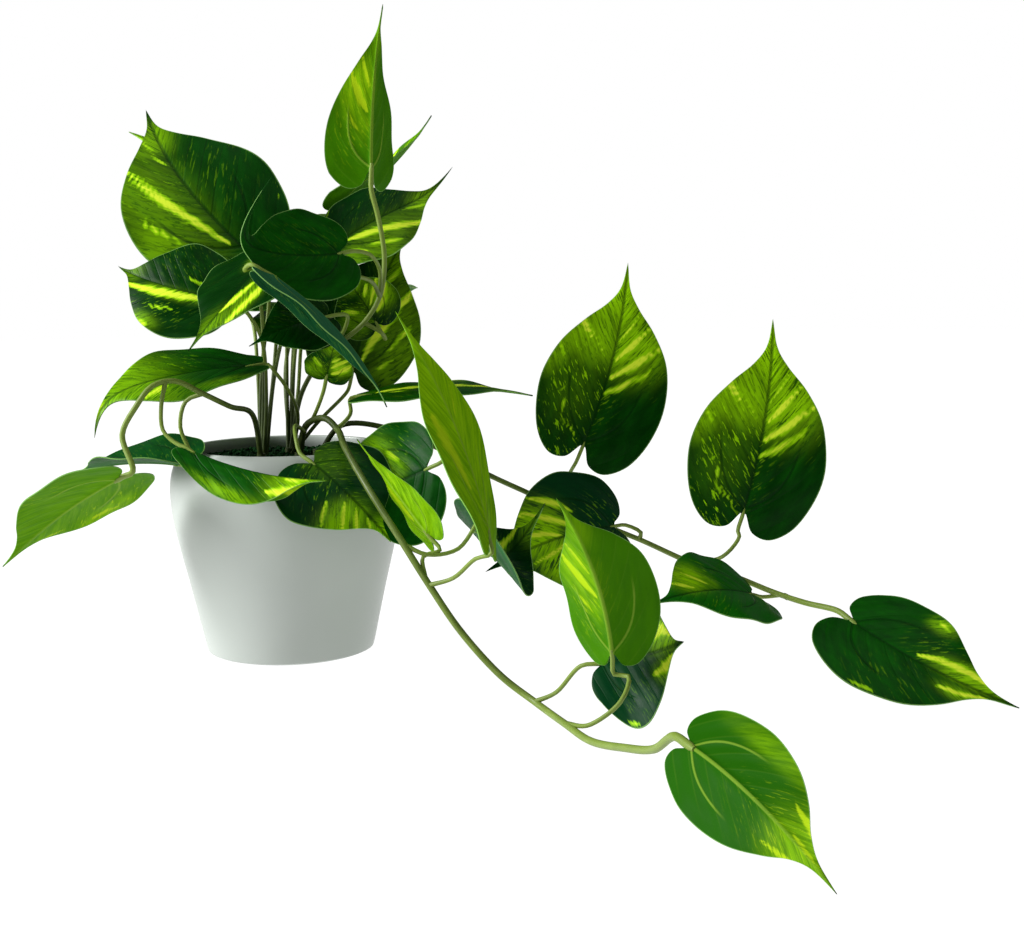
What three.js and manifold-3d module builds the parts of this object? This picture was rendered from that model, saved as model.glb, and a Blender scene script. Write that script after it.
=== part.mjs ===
// A trailing philodendron in a white pot. Millimetres, +Z up.
// Origin: centre of the pot's base, on the surface it stands on. The long vine trails towards -Y and +X.
import * as THREE from "three";
import { mergeVertices } from "three/addons/utils/BufferGeometryUtils.js";
import Module from "manifold-3d";

const wasm = await Module();
wasm.setup();

// ---- driving dimensions ----
const GAP = 0.3; // left between pieces that touch

// Pot, as radius and height pairs: the outer side from the base up, then the inner side down.
const POT_OUTER = [
  [41, 0], [44.5, 1.4], [46, 5], [52.2, 33], [59, 62], [61.6, 76],
  [62.5, 88], [61.8, 97], [59.6, 104.5], [56.4, 109.8], [53.6, 112],
];
const POT_INNER = [
  [51.4, 111.4], [51.8, 108], [54.6, 102], [57.2, 94], [57.8, 86], [55, 66], [43, 9], [40, 6],
];
const POT_SEGMENTS = 40;
const SOIL_TOP = 105; // mean height of the moss
const SOIL_FOOT = 6.3;
const SOIL_RIM_IN = 0.6; // how far the soil's last full ring stands in from the wall, and under the top
const SOIL_RIM_DOWN = 1.5;
const MOSS_RINGS = [46, 38, 29.5, 20, 10]; // radii of the moss surface's rings
const MOSS_RELIEF = 2.6; // height from the lowest hollow to the highest crumb
const MOSS_HOLLOW = 0.4; // share of it under the mean
const MOSS_SEED = 11;

// Crowns: short stubs that the stems grow from, each in a plain hole in the soil.
const CROWN_RADIUS = 3.4;
const CROWN_TAPER = 0.75; // upper radius over lower radius
const CROWN_SIDES = 10;
const CROWN_FOOT = 88;
const CROWN_TOP = 109;
const HOLE_LENGTH = 40; // reaches out of the soil
const HOLE_SIDES = 12;
const CROWN_AT = {
  left: [-14, 6], right: [0, 15], leftVine: [-12, -9], frontVine: [8, -7], rightVine: [16, 8],
};

// Leaf blade: outline of one half as [along, across], sinus at 0, tip at 1 along, widest at 1 across,
// and where on the midrib the same row starts.
const OUTLINE = [
  [0, 0], [0, 0.055], [-0.075, 0.2], [-0.085, 0.48], [0, 0.77], [0.15, 0.95],
  [0.32, 1], [0.5, 0.86], [0.65, 0.56], [0.76, 0.26], [0.86, 0.075], [1, 0],
];
const MIDRIB = [0, 0.02, 0.05, 0.08, 0.13, 0.22, 0.34, 0.48, 0.62, 0.75, 0.87, 1];
const BLADE = 0.8; // thickness of a blade
const RIB = 0.9; // depth of the midrib under the blade, at its base
const TWIST_REST = 0.3; // place along the midrib that a twist leaves as it is
const HOOK_POWER = 10; // how suddenly the tip hooks

// Stems: sides of a tube and length of its steps.
const VINE_SIDES = 6;
const VINE_STEP = 11;
const PETIOLE_RADIUS = 1.1;
const PETIOLE_SIDES = 5;
const PETIOLE_STEP = 12;
const LANDING = 9; // straight run before a blade, in line with its midrib
const SEAT = 0.85; // share of a stem's radius that stays between its end and the blade
const SEAT_MAX = 1.15;

// Leaves. base: where the petiole meets the blade. tip: end of the blade. face: the way the upper side
// looks. half: half of the width. taper: how much narrower the blade grows from base to tip. bow: rise of
// the midrib towards the upper side. sway: its bend to the side. fold: degrees that each half is raised,
// as one number or as [right, left]. curl: degrees that a half turns down towards its margin. twist:
// degrees from base to tip. hook: how far the tip curls up, or where to.
const LEAVES = {
  // crown of the plant
  leaf_crown_left: {
    base: [-19, 11, 217], tip: [-82, 62, 297], face: [0, -0.8, 0.5],
    half: 43, bow: 7, sway: -8, fold: 6, curl: 12,
  },
  leaf_upper_left: {
    base: [-30, -20, 192], tip: [-87, 6, 208], face: [-0.45, -0.65, 0.55],
    half: 28, bow: 6, sway: -4, fold: 8, curl: 16, hook: 3,
  },
  leaf_front_drooping: {
    base: [-1, -30, 215], tip: [-36, -78, 168], face: [-0.4, -0.75, 0.5],
    half: 27, bow: 4, sway: -4, fold: 4, curl: 10,
  },
  leaf_front_heart: {
    base: [37, -40, 215], tip: [-22, -84, 222], face: [0.6, -0.7, 0.4],
    half: 25, bow: 2, sway: -5, fold: 4, curl: 6, hook: [30, 4, 30],
  },
  leaf_folded_right: {
    base: [6, -88, 205], tip: [62, -90, 140], face: [-0.6, -0.3, -0.5],
    half: 12, bow: -7, fold: 38, curl: 10,
  },
  leaf_under_crown: {
    base: [26, -20, 182], tip: [-12, -40, 168], face: [-0.1, -0.8, 0.4],
    half: 18, bow: 4, fold: 4, curl: 12,
  },
  leaf_arching_left: {
    base: [-16, -8, 156], tip: [-102, -31, 139], face: [-0.3, -0.5, 0.8],
    half: 17, bow: 4, fold: 8, curl: 8, hook: [7, -3, -18], twist: -12, taper: -1.5,
  },
  leaf_top: {
    base: [50, -5, 257], tip: [57, 10, 346], face: [-0.45, 0.89, 0],
    half: 29, bow: 0, sway: 2, fold: [28, 42], curl: 8, taper: 0.7,
  },
  leaf_top_dark: {
    base: [27, 26, 220], tip: [84, 56, 248], face: [0.2, -0.6, 0.75],
    half: 26, bow: 5, sway: 1, fold: 4, curl: 12, twist: 20, hook: [7, 2, 15],
  },
  leaf_top_narrow: {
    base: [26, 58, 240], tip: [79, 72, 293], face: [-0.6, 0.1, 0.75],
    half: 19, bow: -4, fold: 20, curl: 4, twist: 60, taper: 0.6,
  },
  leaf_right_dark: {
    base: [34, 32, 149], tip: [65, 42, 225], face: [0.1, -1, 0.2],
    half: 32, bow: 6, sway: -3, fold: 4, curl: 12,
  },
  leaf_small_mottled: {
    base: [26, -28, 150], tip: [32, -33, 171], face: [0.1, -1, 0.2],
    half: 13, bow: 2, fold: 4, curl: 12,
  },
  leaf_inner: {
    base: [50, 14, 176], tip: [30, 14, 206], face: [0.2, -0.8, 0.3],
    half: 20, bow: 3, fold: 4, curl: 8,
  },
  leaf_behind_crown: {
    base: [-22, 46, 232], tip: [-98, 88, 287], face: [0.1, -0.7, 0.6],
    half: 30, bow: 5, sway: 3, fold: 6, curl: 12,
  },
  // back of the plant
  leaf_back_one: {
    base: [-12, 52, 206], tip: [-38, 122, 196], face: [-0.1, 0.3, 0.9],
    half: 33, bow: 8, fold: 6, curl: 12,
  },
  leaf_back_two: {
    base: [34, 48, 196], tip: [50, 125, 178], face: [0.1, 0.3, 0.9],
    half: 30, bow: 8, fold: 6, curl: 12,
  },
  leaf_back_three: {
    base: [-30, 45, 185], tip: [-75, 110, 172], face: [-0.2, 0.3, 0.9],
    half: 31, bow: 8, fold: 6, curl: 12,
  },
  leaf_back_four: {
    base: [5, 50, 170], tip: [0, 125, 172], face: [0, 0, 1],
    half: 30, bow: 10, fold: 6, curl: 12,
  },
  leaf_back_five: {
    base: [8, 52, 226], tip: [24, 116, 236], face: [0, 0.1, 1],
    half: 28, bow: 6, fold: 6, curl: 12,
  },
  // over the rim and in front of the pot
  leaf_rim_left: {
    base: [-48, -46, 108], tip: [-116, 2, 98], face: [0, -0.2, 1],
    half: 25, bow: 3, fold: 26, curl: 10,
  },
  leaf_left_end: {
    base: [-73, -72, 105], tip: [-147, -32, 53], face: [-0.33, 0.53, 0.78],
    half: 28, bow: 4, fold: 8, curl: 14,
  },
  leaf_pot_left: {
    base: [-38, -74, 119], tip: [34, -101, 106], face: [0.05, -0.1, 1],
    half: 12, bow: -4, fold: [-42, -60], curl: 8, taper: -1.6,
  },
  leaf_pot_front: {
    base: [21, -60, 110], tip: [62, -81, 72], face: [-0.1, -0.55, 0.8],
    half: 33, bow: 4, fold: [6, -6], curl: 8,
  },
  leaf_pot_right: {
    base: [80, -60, 106], tip: [28, -67, 92], face: [-0.3, -0.9, 0.3],
    half: 35, bow: -8, fold: [-10, 4], curl: 10,
  },
  leaf_along_vine: {
    base: [82, -95, 77], tip: [45, -66, 122], face: [0.75, 0.6, -0.1],
    half: 12, bow: 0, fold: 22, curl: 6, taper: 0.8,
  },
  leaf_side_long: {
    base: [46, -15, 140], tip: [134, -30, 140], face: [0, -0.12, 1],
    half: 24, bow: 4, fold: 4, curl: 12,
  },
  // along the front vine
  leaf_tall_bright: {
    base: [111, -126, 82], tip: [68, -104, 187], face: [-0.8, 0.6, -0.4],
    half: 14, bow: 3, sway: -12, fold: 8, curl: 6, twist: -60, taper: -0.5,
  },
  leaf_behind_tall: {
    base: [107, -86, 78], tip: [139, -64, 88], face: [0.1, -0.6, 0.7],
    half: 30, bow: -30, fold: 4, curl: 6,
  },
  leaf_vine_bright: {
    base: [166, -178, 36], tip: [141, -203, 111], face: [0.25, 0.9, 0.2],
    half: 27, bow: 2, sway: -4, fold: 34, curl: -8,
  },
  leaf_vine_low: {
    base: [162, -150, 26], tip: [198, -172, 41], face: [-0.56, -0.7, 0.45],
    half: 25, bow: -4, fold: 4, curl: 6, taper: -1,
  },
  leaf_vine_end: {
    base: [187, -297, 31], tip: [228, -371, 2], face: [0.7, 0.56, -0.42],
    half: 22, bow: -3, sway: 4, fold: [20, 0], curl: 4,
  },
  // along the right vine
  leaf_upright_near: {
    base: [161, 0, 109], tip: [188, 27, 208], face: [0.1, -0.95, 0.25],
    half: 35, bow: 4, sway: 4, fold: 5, curl: 12,
  },
  leaf_upright_far: {
    base: [242, -45, 78], tip: [260, -25, 178], face: [0.05, -0.97, 0.18],
    half: 36, bow: 4, sway: 3, fold: 5, curl: 12,
  },
  leaf_right_low: {
    base: [178, -3, 66], tip: [108, -48, 50], face: [0.4, -0.75, 0.45],
    half: 35, bow: 6, sway: 3, fold: 6, curl: 12,
  },
  leaf_right_small: {
    base: [245, -60, 39], tip: [190, -101, 43], face: [0.15, -0.45, 0.9],
    half: 30, bow: 5, fold: 8, curl: 8,
  },
  leaf_right_end: {
    base: [287, -100, 34], tip: [356, -148, 2], face: [0.1, -0.7, 0.65],
    half: 31, bow: 5, sway: 7, fold: 6, curl: 12,
  },
};

// Stems. Each has a radius and the points of its vine after the crown; a petiole leaves from the point
// named first and passes its own points on the way to its leaf.
const STEMS = {
  stems_left: {
    crown: "left",
    petioles: {
      leaf_crown_left: [[-14, 6, 104], [-12, 8, 150], [-12, 4, 190], [-17, 3, 212]],
      leaf_upper_left: [[-13, 5, 104], [-10, 2, 140], [-10, -12, 172], [-18, -22, 188]],
      leaf_front_drooping: [[-12, 7, 104], [-6, 8, 150], [4, 4, 190], [9, -12, 213]],
      leaf_behind_crown: [[-15, 7, 104], [-14, 14, 150], [-10, 26, 200], [-16, 33, 226]],
      leaf_back_one: [[-13, 8, 104], [-8, 18, 150], [-4, 28, 200], [-3, 38, 219]],
      leaf_back_three: [[-15, 8, 104], [-17, 20, 150], [-21, 33, 178]],
    },
  },
  stems_right: {
    crown: "right",
    radius: 1.4,
    vine: [
      [0, 15, 104], [8, 14, 140], [22, 8, 160], [44, 0, 178], [53, -3, 192], [56, -4, 212], [53, -5, 235],
    ],
    vineLeaf: "leaf_top",
    petioles: {
      leaf_front_heart: [[53, -3, 192], [54, -12, 206], [50, -24, 214]],
      leaf_folded_right: [
        [53, -3, 192], [50, -18, 200], [42, -34, 203], [30, -48, 203],
        [20, -57.5, 203], [10, -62, 206], [-2, -66, 209], [-7, -77, 207],
      ],
      leaf_arching_left: [[2, 14, 108], [6, 8, 128], [2, -5, 144], [-3, -9, 152]],
      leaf_top_dark: [[1, 16, 104], [4, 18, 160], [13, 15, 205]],
      leaf_top_narrow: [[0, 17, 104], [3, 26, 170], [10, 40, 220]],
      leaf_right_dark: [[2, 16, 106], [15, 18, 122], [30, 27, 137]],
      leaf_small_mottled: [[2, 13, 106], [9, 4, 118], [18, -16, 130]],
      leaf_inner: [[44, 0, 178], [53, 6, 172]],
      leaf_under_crown: [[22, 8, 160], [32, 2, 172], [36, -8, 182]],
      leaf_back_two: [[0, 17, 104], [-2, 32, 160], [14, 38, 196], [28, 38, 198]],
      leaf_back_four: [[0, 17, 106], [4, 28, 140], [5, 39, 164]],
      leaf_back_five: [[-1, 16, 104], [-1, 26, 170], [4, 33, 228]],
    },
  },
  vine_left: {
    crown: "leftVine",
    radius: 1.5,
    vine: [
      [-12, -9, 104], [-15, -15, 130], [-23, -39, 137], [-34, -54, 145], [-47, -60, 152],
      [-57, -65, 150], [-65, -68, 140], [-72, -70, 126],
    ],
    vineLeaf: "leaf_left_end",
    petioles: {
      leaf_rim_left: [[-34, -54, 145], [-43, -53, 141], [-46, -54, 128], [-42, -53, 116]],
      leaf_pot_left: [[-51, -62.3, 151.8], [-53, -65, 140], [-52, -68, 128]],
    },
  },
  vine_front: {
    crown: "frontVine",
    radius: 1.8,
    vine: [
      [8, -7, 104], [13, -15, 124], [24, -25, 129], [32, -36, 124], [38, -58, 117], [52, -82, 98],
      [68, -98, 76], [82, -107, 55], [97, -115, 34], [116, -123, 14], [132, -132, 3.4], [145, -166, 2.4],
      [155, -194, 2.6], [168, -230, 10], [177, -262, 19],
    ],
    vineLeaf: "leaf_vine_end",
    petioles: {
      leaf_pot_front: [[12, -13, 121], [10, -34, 126], [12, -50, 122]],
      leaf_side_long: [[32, -36, 124], [38, -26, 131]],
      leaf_along_vine: [[80, -105, 58], [79, -101, 68]],
      leaf_behind_tall: [[69, -99, 74], [81, -101, 69], [96, -97, 71]],
      leaf_tall_bright: [[82, -107, 55], [94, -115, 60], [105, -125, 71]],
      leaf_vine_low: [[132, -132, 3.4], [142, -140, 10]],
      leaf_vine_bright: [[145, -166, 2.4], [156, -184, 7], [169, -187, 18], [173, -178, 27]],
    },
  },
  vine_right: {
    crown: "rightVine",
    radius: 1.5,
    vine: [
      [16, 8, 104], [30, 6, 122], [60, 4, 119], [85, 2, 108], [109, 0, 95], [128, -1, 86],
      [160, 9, 70], [192, 6, 57], [217, -28, 50], [238, -42, 45], [256, -54, 39], [269, -78, 38],
    ],
    vineLeaf: "leaf_right_end",
    petioles: {
      leaf_pot_right: [[95, 1, 103], [97, -22, 111], [97, -46, 117], [95, -58, 118]],
      leaf_upright_near: [[148, 5, 76], [151, 9, 86], [155, 4, 96]],
      leaf_right_low: [[192, 6, 57], [193, 4, 61]],
      leaf_upright_far: [[217, -28, 50], [232, -40, 55], [240, -47, 67]],
      leaf_right_small: [[262, -65, 38], [262, -58, 38]],
    },
  },
};

// Colours
const POT_WHITE = "#eceeec";
const MOSS_GREEN = "#16301a";
const STEM_GREEN = "#9aa83a";
const LEAF_GREEN = "#1f6b1e";

// ---- helpers ----
const vec = (p) => new THREE.Vector3(...p);
const rad = THREE.MathUtils.degToRad;

function seededRandom(seed) {
  let s = seed >>> 0;
  return () => {
    s = (Math.imul(s, 1664525) + 1013904223) >>> 0;
    return s / 4294967296;
  };
}

function geometryFrom(points, faces) {
  const g = new THREE.BufferGeometry();
  g.setAttribute("position", new THREE.Float32BufferAttribute(points.flat(), 3));
  g.setIndex(faces.flat());
  return g;
}

function solid(geometry) {
  const g = geometry.clone();
  g.deleteAttribute("normal");
  g.deleteAttribute("uv");
  const m = mergeVertices(g, 1e-4);
  return new wasm.Manifold(
    new wasm.Mesh({
      numProp: 3,
      vertProperties: m.attributes.position.array,
      triVerts: new Uint32Array(m.index.array),
    }),
  );
}

function geometryOf(manifold) {
  const mesh = manifold.getMesh();
  const g = new THREE.BufferGeometry();
  g.setAttribute("position", new THREE.BufferAttribute(mesh.vertProperties, 3));
  g.setIndex(new THREE.BufferAttribute(mesh.triVerts, 1));
  return g;
}

// ---- leaf ----
// Frame of a leaf at a place along its midrib: point, tangent, side and upper normal.
function leafFrame(leaf, along) {
  const base = vec(leaf.base);
  const axis = vec(leaf.tip).sub(base);
  const length = axis.length();
  const dir = axis.clone().divideScalar(length);
  const up = vec(leaf.face);
  up.addScaledVector(dir, -up.dot(dir)).normalize();
  const side = new THREE.Vector3().crossVectors(dir, up);
  const { bow = 0, sway = 0, hook = 0, twist = 0 } = leaf;
  const flick = Array.isArray(hook) ? vec(hook) : up.clone().multiplyScalar(hook);
  const a = Math.max(along, 0);
  const arch = 4 * a * (1 - a);
  const slope = 4 * (1 - 2 * a);
  const point = base.clone().addScaledVector(axis, a);
  point.addScaledVector(up, bow * arch).addScaledVector(side, sway * arch);
  point.addScaledVector(flick, a ** HOOK_POWER);
  const tangent = axis.clone().addScaledVector(up, bow * slope).addScaledVector(side, sway * slope);
  tangent.addScaledVector(flick, HOOK_POWER * a ** (HOOK_POWER - 1));
  if (along < 0) point.addScaledVector(tangent, along);
  tangent.normalize();
  const normal = up.clone().addScaledVector(tangent, -up.dot(tangent)).normalize();
  normal.applyAxisAngle(tangent, rad(twist) * (a - TWIST_REST));
  return { point, tangent, normal, side: new THREE.Vector3().crossVectors(tangent, normal) };
}

// Point of the blade's middle surface and its normal there; across runs from -1 to 1.
function bladePoint(leaf, along, across) {
  const f = leafFrame(leaf, along);
  const s = Math.abs(across) * leaf.half * (1 - (leaf.taper ?? 0) * Math.max(along, 0));
  const hand = Math.sign(across);
  const fold = Array.isArray(leaf.fold) ? leaf.fold[across > 0 ? 0 : 1] : leaf.fold;
  const start = rad(fold);
  const bend = rad(leaf.curl) / leaf.half;
  const end = start - bend * s;
  const out = (Math.sin(start) - Math.sin(end)) / bend;
  const rise = (Math.cos(end) - Math.cos(start)) / bend;
  const point = f.point.addScaledVector(f.side, hand * out).addScaledVector(f.normal, rise);
  const normal = f.normal.multiplyScalar(Math.cos(end)).addScaledVector(f.side, -hand * Math.sin(end));
  return { point, normal };
}

// Closed blade: upper and under faces split alike, a margin all round and a midrib below.
function leafGeometry(leaf) {
  const points = [];
  const add = (along, across, depth) => {
    const { point, normal } = bladePoint(leaf, along, across);
    points.push(point.clone().addScaledVector(normal, BLADE / 2).toArray());
    points.push(point.addScaledVector(normal, -BLADE / 2 - depth).toArray());
    return points.length - 2;
  };
  const rows = OUTLINE.length - 1;
  const middle = MIDRIB.map((m) => add(m, 0, RIB * (1 - m)));
  const faces = [];
  const loop = [];
  for (const hand of [1, -1]) {
    const grid = OUTLINE.map(([along, across], i) => {
      if (i === 0 || i === rows) return [middle[i], middle[i], middle[i]];
      const half = add((MIDRIB[i] + along) / 2, (hand * across) / 2, 0);
      return [middle[i], half, add(along, hand * across, 0)];
    });
    const tri = (a, b, c) => {
      if (a === b || b === c || a === c) return;
      const t = hand > 0 ? [a, c, b] : [a, b, c];
      faces.push(t, [t[0] + 1, t[2] + 1, t[1] + 1]);
    };
    for (let i = 0; i < rows; i++)
      for (let j = 0; j < 2; j++) {
        tri(grid[i][j], grid[i + 1][j], grid[i][j + 1]);
        tri(grid[i][j + 1], grid[i + 1][j], grid[i + 1][j + 1]);
      }
    const edge = grid.map((row) => row[2]);
    if (hand > 0) loop.push(...edge.slice(0, -1));
    else loop.push(...edge.slice(1).reverse());
  }
  loop.forEach((p, i) => {
    const q = loop[(i + 1) % loop.length];
    faces.push([q, p, p + 1], [q, p + 1, q + 1]);
  });
  return geometryFrom(points, faces);
}

// ---- stems ----
function tube(points, radius, sides, spacing) {
  const path = new THREE.CatmullRomCurve3(points, false, "centripetal");
  const ring = Array.from({ length: sides }, (_, i) => {
    const turn = (2 * Math.PI * i) / sides;
    return new THREE.Vector2(radius * Math.cos(turn), radius * Math.sin(turn));
  });
  const steps = Math.max(3, Math.round(path.getLength() / spacing));
  return new THREE.ExtrudeGeometry(new THREE.Shape(ring), { steps, extrudePath: path, bevelEnabled: false });
}

// Last two points of a stem: in line with the midrib, ending just short of the blade.
function landing(leaf, radius) {
  const { tangent } = leafFrame(leaf, 0);
  const short = Math.min(radius * SEAT, SEAT_MAX);
  return [LANDING, short].map((back) => vec(leaf.base).addScaledVector(tangent, -back));
}

function stemGeometry({ crown, radius, vine, vineLeaf, petioles }) {
  const [x, y] = CROWN_AT[crown];
  const height = CROWN_TOP - CROWN_FOOT;
  const stub = new THREE.CylinderGeometry(CROWN_RADIUS * CROWN_TAPER, CROWN_RADIUS, height, CROWN_SIDES);
  stub.rotateX(Math.PI / 2).translate(x, y, CROWN_FOOT + height / 2);
  let body = solid(stub);
  if (vine) {
    const path = [...vine.map(vec), ...landing(LEAVES[vineLeaf], radius)];
    body = body.add(solid(tube(path, radius, VINE_SIDES, VINE_STEP)));
  }
  for (const [name, points] of Object.entries(petioles)) {
    const path = [...points.map(vec), ...landing(LEAVES[name], PETIOLE_RADIUS)];
    body = body.add(solid(tube(path, PETIOLE_RADIUS, PETIOLE_SIDES, PETIOLE_STEP)));
  }
  return geometryOf(body);
}

// ---- pot and soil ----
function turned(profile, segments) {
  const g = new THREE.LatheGeometry(profile.map(([r, z]) => new THREE.Vector2(r, z)), segments);
  return g.rotateX(Math.PI / 2);
}

function potSolid() {
  const profile = [[0, 0], ...POT_OUTER, ...POT_INNER, [0, POT_INNER.at(-1)[1]]];
  return solid(turned(profile, POT_SEGMENTS));
}

// Soil: a plug that follows the pot's inner wall, with a crumbly top of raised and sunk points.
function soilSolid() {
  const wall = POT_INNER.filter(([, z]) => z < SOIL_TOP).reverse();
  const rings = wall.map(([r, z], i) => [r - GAP, i === 0 ? SOIL_FOOT : z + GAP]);
  rings.push([POT_INNER[2][0] - GAP - SOIL_RIM_IN, SOIL_TOP - SOIL_RIM_DOWN]);
  const random = seededRandom(MOSS_SEED);
  const points = [[0, 0, SOIL_FOOT]];
  const ring = (radius, height) => {
    const start = points.length;
    for (let i = 0; i < POT_SEGMENTS; i++) {
      const turn = (2 * Math.PI * i) / POT_SEGMENTS;
      points.push([radius * Math.cos(turn), radius * Math.sin(turn), height()]);
    }
    return start;
  };
  const starts = rings.map(([r, z]) => ring(r, () => z));
  for (const r of MOSS_RINGS) starts.push(ring(r, () => SOIL_TOP + MOSS_RELIEF * (random() - MOSS_HOLLOW)));
  points.push([0, 0, SOIL_TOP]);
  const faces = [];
  for (let i = 0; i < POT_SEGMENTS; i++) {
    const j = (i + 1) % POT_SEGMENTS;
    faces.push([0, starts[0] + j, starts[0] + i]);
    for (let k = 0; k + 1 < starts.length; k++) {
      const [a, b] = [starts[k], starts[k + 1]];
      faces.push([a + i, a + j, b + i], [a + j, b + j, b + i]);
    }
    faces.push([starts.at(-1) + i, starts.at(-1) + j, points.length - 1]);
  }
  let body = solid(geometryFrom(points, faces));
  for (const [x, y] of Object.values(CROWN_AT)) {
    const r = CROWN_RADIUS + GAP;
    const hole = new THREE.CylinderGeometry(r, r, HOLE_LENGTH, HOLE_SIDES);
    hole.rotateX(Math.PI / 2).translate(x, y, CROWN_FOOT - GAP + HOLE_LENGTH / 2);
    body = body.subtract(solid(hole));
  }
  return body;
}

// ---- assembly ----
const plant = new THREE.Group();

function place(name, geometry, color, roughness) {
  const mesh = new THREE.Mesh(geometry, new THREE.MeshStandardMaterial({ color, roughness, metalness: 0 }));
  mesh.name = name;
  plant.add(mesh);
}

place("pot", geometryOf(potSolid()), POT_WHITE, 0.35);
place("soil", geometryOf(soilSolid()), MOSS_GREEN, 0.95);
for (const [name, stem] of Object.entries(STEMS)) place(name, stemGeometry(stem), STEM_GREEN, 0.5);
for (const [name, leaf] of Object.entries(LEAVES)) place(name, leafGeometry(leaf), LEAF_GREEN, 0.45);

export default plant;
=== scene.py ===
"""Trailing philodendron in a white pot: glazed pot, mossy soil, stems and variegated leaves.

Laid out as an add-on for the 3D view. Sizes in the tables are millimetres in the frame's own axes.
"""

import math
import random
from functools import partial, partialmethod

import bmesh
import bpy
import numpy as np
from mathutils import Matrix, Vector, noise


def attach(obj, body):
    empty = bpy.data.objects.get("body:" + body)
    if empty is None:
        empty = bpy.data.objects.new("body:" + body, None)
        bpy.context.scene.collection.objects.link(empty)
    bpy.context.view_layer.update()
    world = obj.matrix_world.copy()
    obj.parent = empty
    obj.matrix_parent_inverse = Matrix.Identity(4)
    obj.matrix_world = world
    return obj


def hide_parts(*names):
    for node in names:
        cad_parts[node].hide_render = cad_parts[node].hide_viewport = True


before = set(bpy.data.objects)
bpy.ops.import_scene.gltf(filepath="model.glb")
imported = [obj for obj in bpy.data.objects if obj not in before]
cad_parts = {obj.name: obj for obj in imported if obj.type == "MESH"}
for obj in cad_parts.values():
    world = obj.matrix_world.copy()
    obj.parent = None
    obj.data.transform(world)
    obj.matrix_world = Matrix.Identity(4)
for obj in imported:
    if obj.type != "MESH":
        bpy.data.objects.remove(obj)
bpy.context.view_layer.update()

bl_info = {
    "name": "Potted Philodendron",
    "version": (1, 0, 0),
    "blender": (4, 5, 0),
    "location": "View3D > Sidebar > Philodendron",
    "description": "Builds a trailing philodendron in a white pot around its frame",
    "category": "Add Mesh",
}

MM = 0.001
ON_AXIS = 1e-6
BODY = "root"

# ---- pot: rows of (radius, height) ----
POT_FOOT = [(0, 1.2), (33, 1.2), (35, 0.9), (36.5, 0.0)]
POT_OUTER = [
    (41, 0), (44.5, 1.4), (46, 5), (52.2, 33), (59, 62), (61.6, 76),
    (62.5, 88), (61.8, 97), (59.6, 104.5), (56.4, 109.8), (53.6, 112),
]
POT_LIP = (52.4, 112.1)
POT_INNER = [(51.4, 111.4), (51.8, 108), (54.6, 102), (57.2, 94), (57.8, 86), (55, 66)]
POT_FLOOR = [(43, 70), (0, 68)]
OUTER_ROWS, INNER_ROWS = 61, 41

# ---- soil and its moss ----
SOIL_RADIUS = 52.2
SOIL_FOOT, SOIL_WALL, SOIL_TOP = 90, 98, 105  # heights
SOIL_BEVEL = 1
MOSS_RINGS, MOSS_SEGMENTS = 64, 180
MOSS_RISE = 0.3
MOSS_EDGE = 5  # width at the rim over which the lumps die away
BROAD_LUMPS, FINE_LUMPS = (0.16, 1.3), (0.9, 0.7)  # scale and height
CRUMB_SIZE = (0.5, 1.25)
CRUMB_LIFT = (-0.4, 1.6)
CRUMB_INSET = 2.0
CRUMB_PILE = 46  # crumbs lie flatter outside this radius
CRUMB_FLAT = 0.3
CRUMB_SHAPE = (1.3, 0.8, 0.9)
CRUMB_AXIS_RISE = 0.3  # keeps the axis that a crumb is turned about off the level
CRUMB_LEAST, CRUMB_MORE = 0.7, 0.6  # reach of a corner, and what chance adds to it

# ---- stems: the same routes as the frame's five stem nodes ----
CROWN_TOP = 109
CROWN_FOOT = 96
CROWN_RADIUS = 3.4
CROWN_TAPER = 0.3
CROWN_ROWS = 7
PETIOLE_RADIUS = 1.1
GRAIN_ALONG = 0.12  # the streaks of a stem are drawn out along it
ROUTE_SPACING = 3
# How a stem comes to its leaf: in line with the midrib, just under it, and then up into its rib.
LANDING_RUN, LANDING_GAP, LANDING_DROP, LANDING_SINK = 9, 1.1, 0.2, 0.9
VINE_DEPTH, PETIOLE_DEPTH = 5, 4
# Swelling at the foot, thinner middle and tapered end of a stem.
VINE_SWELL, PETIOLE_SWELL, SWELL_FADE = 0.1, 0.25, 4
WAIST = 0.06
END_LENGTH, END_THIN, END_GAIN = 3.5, 0.55, 0.45
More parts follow.
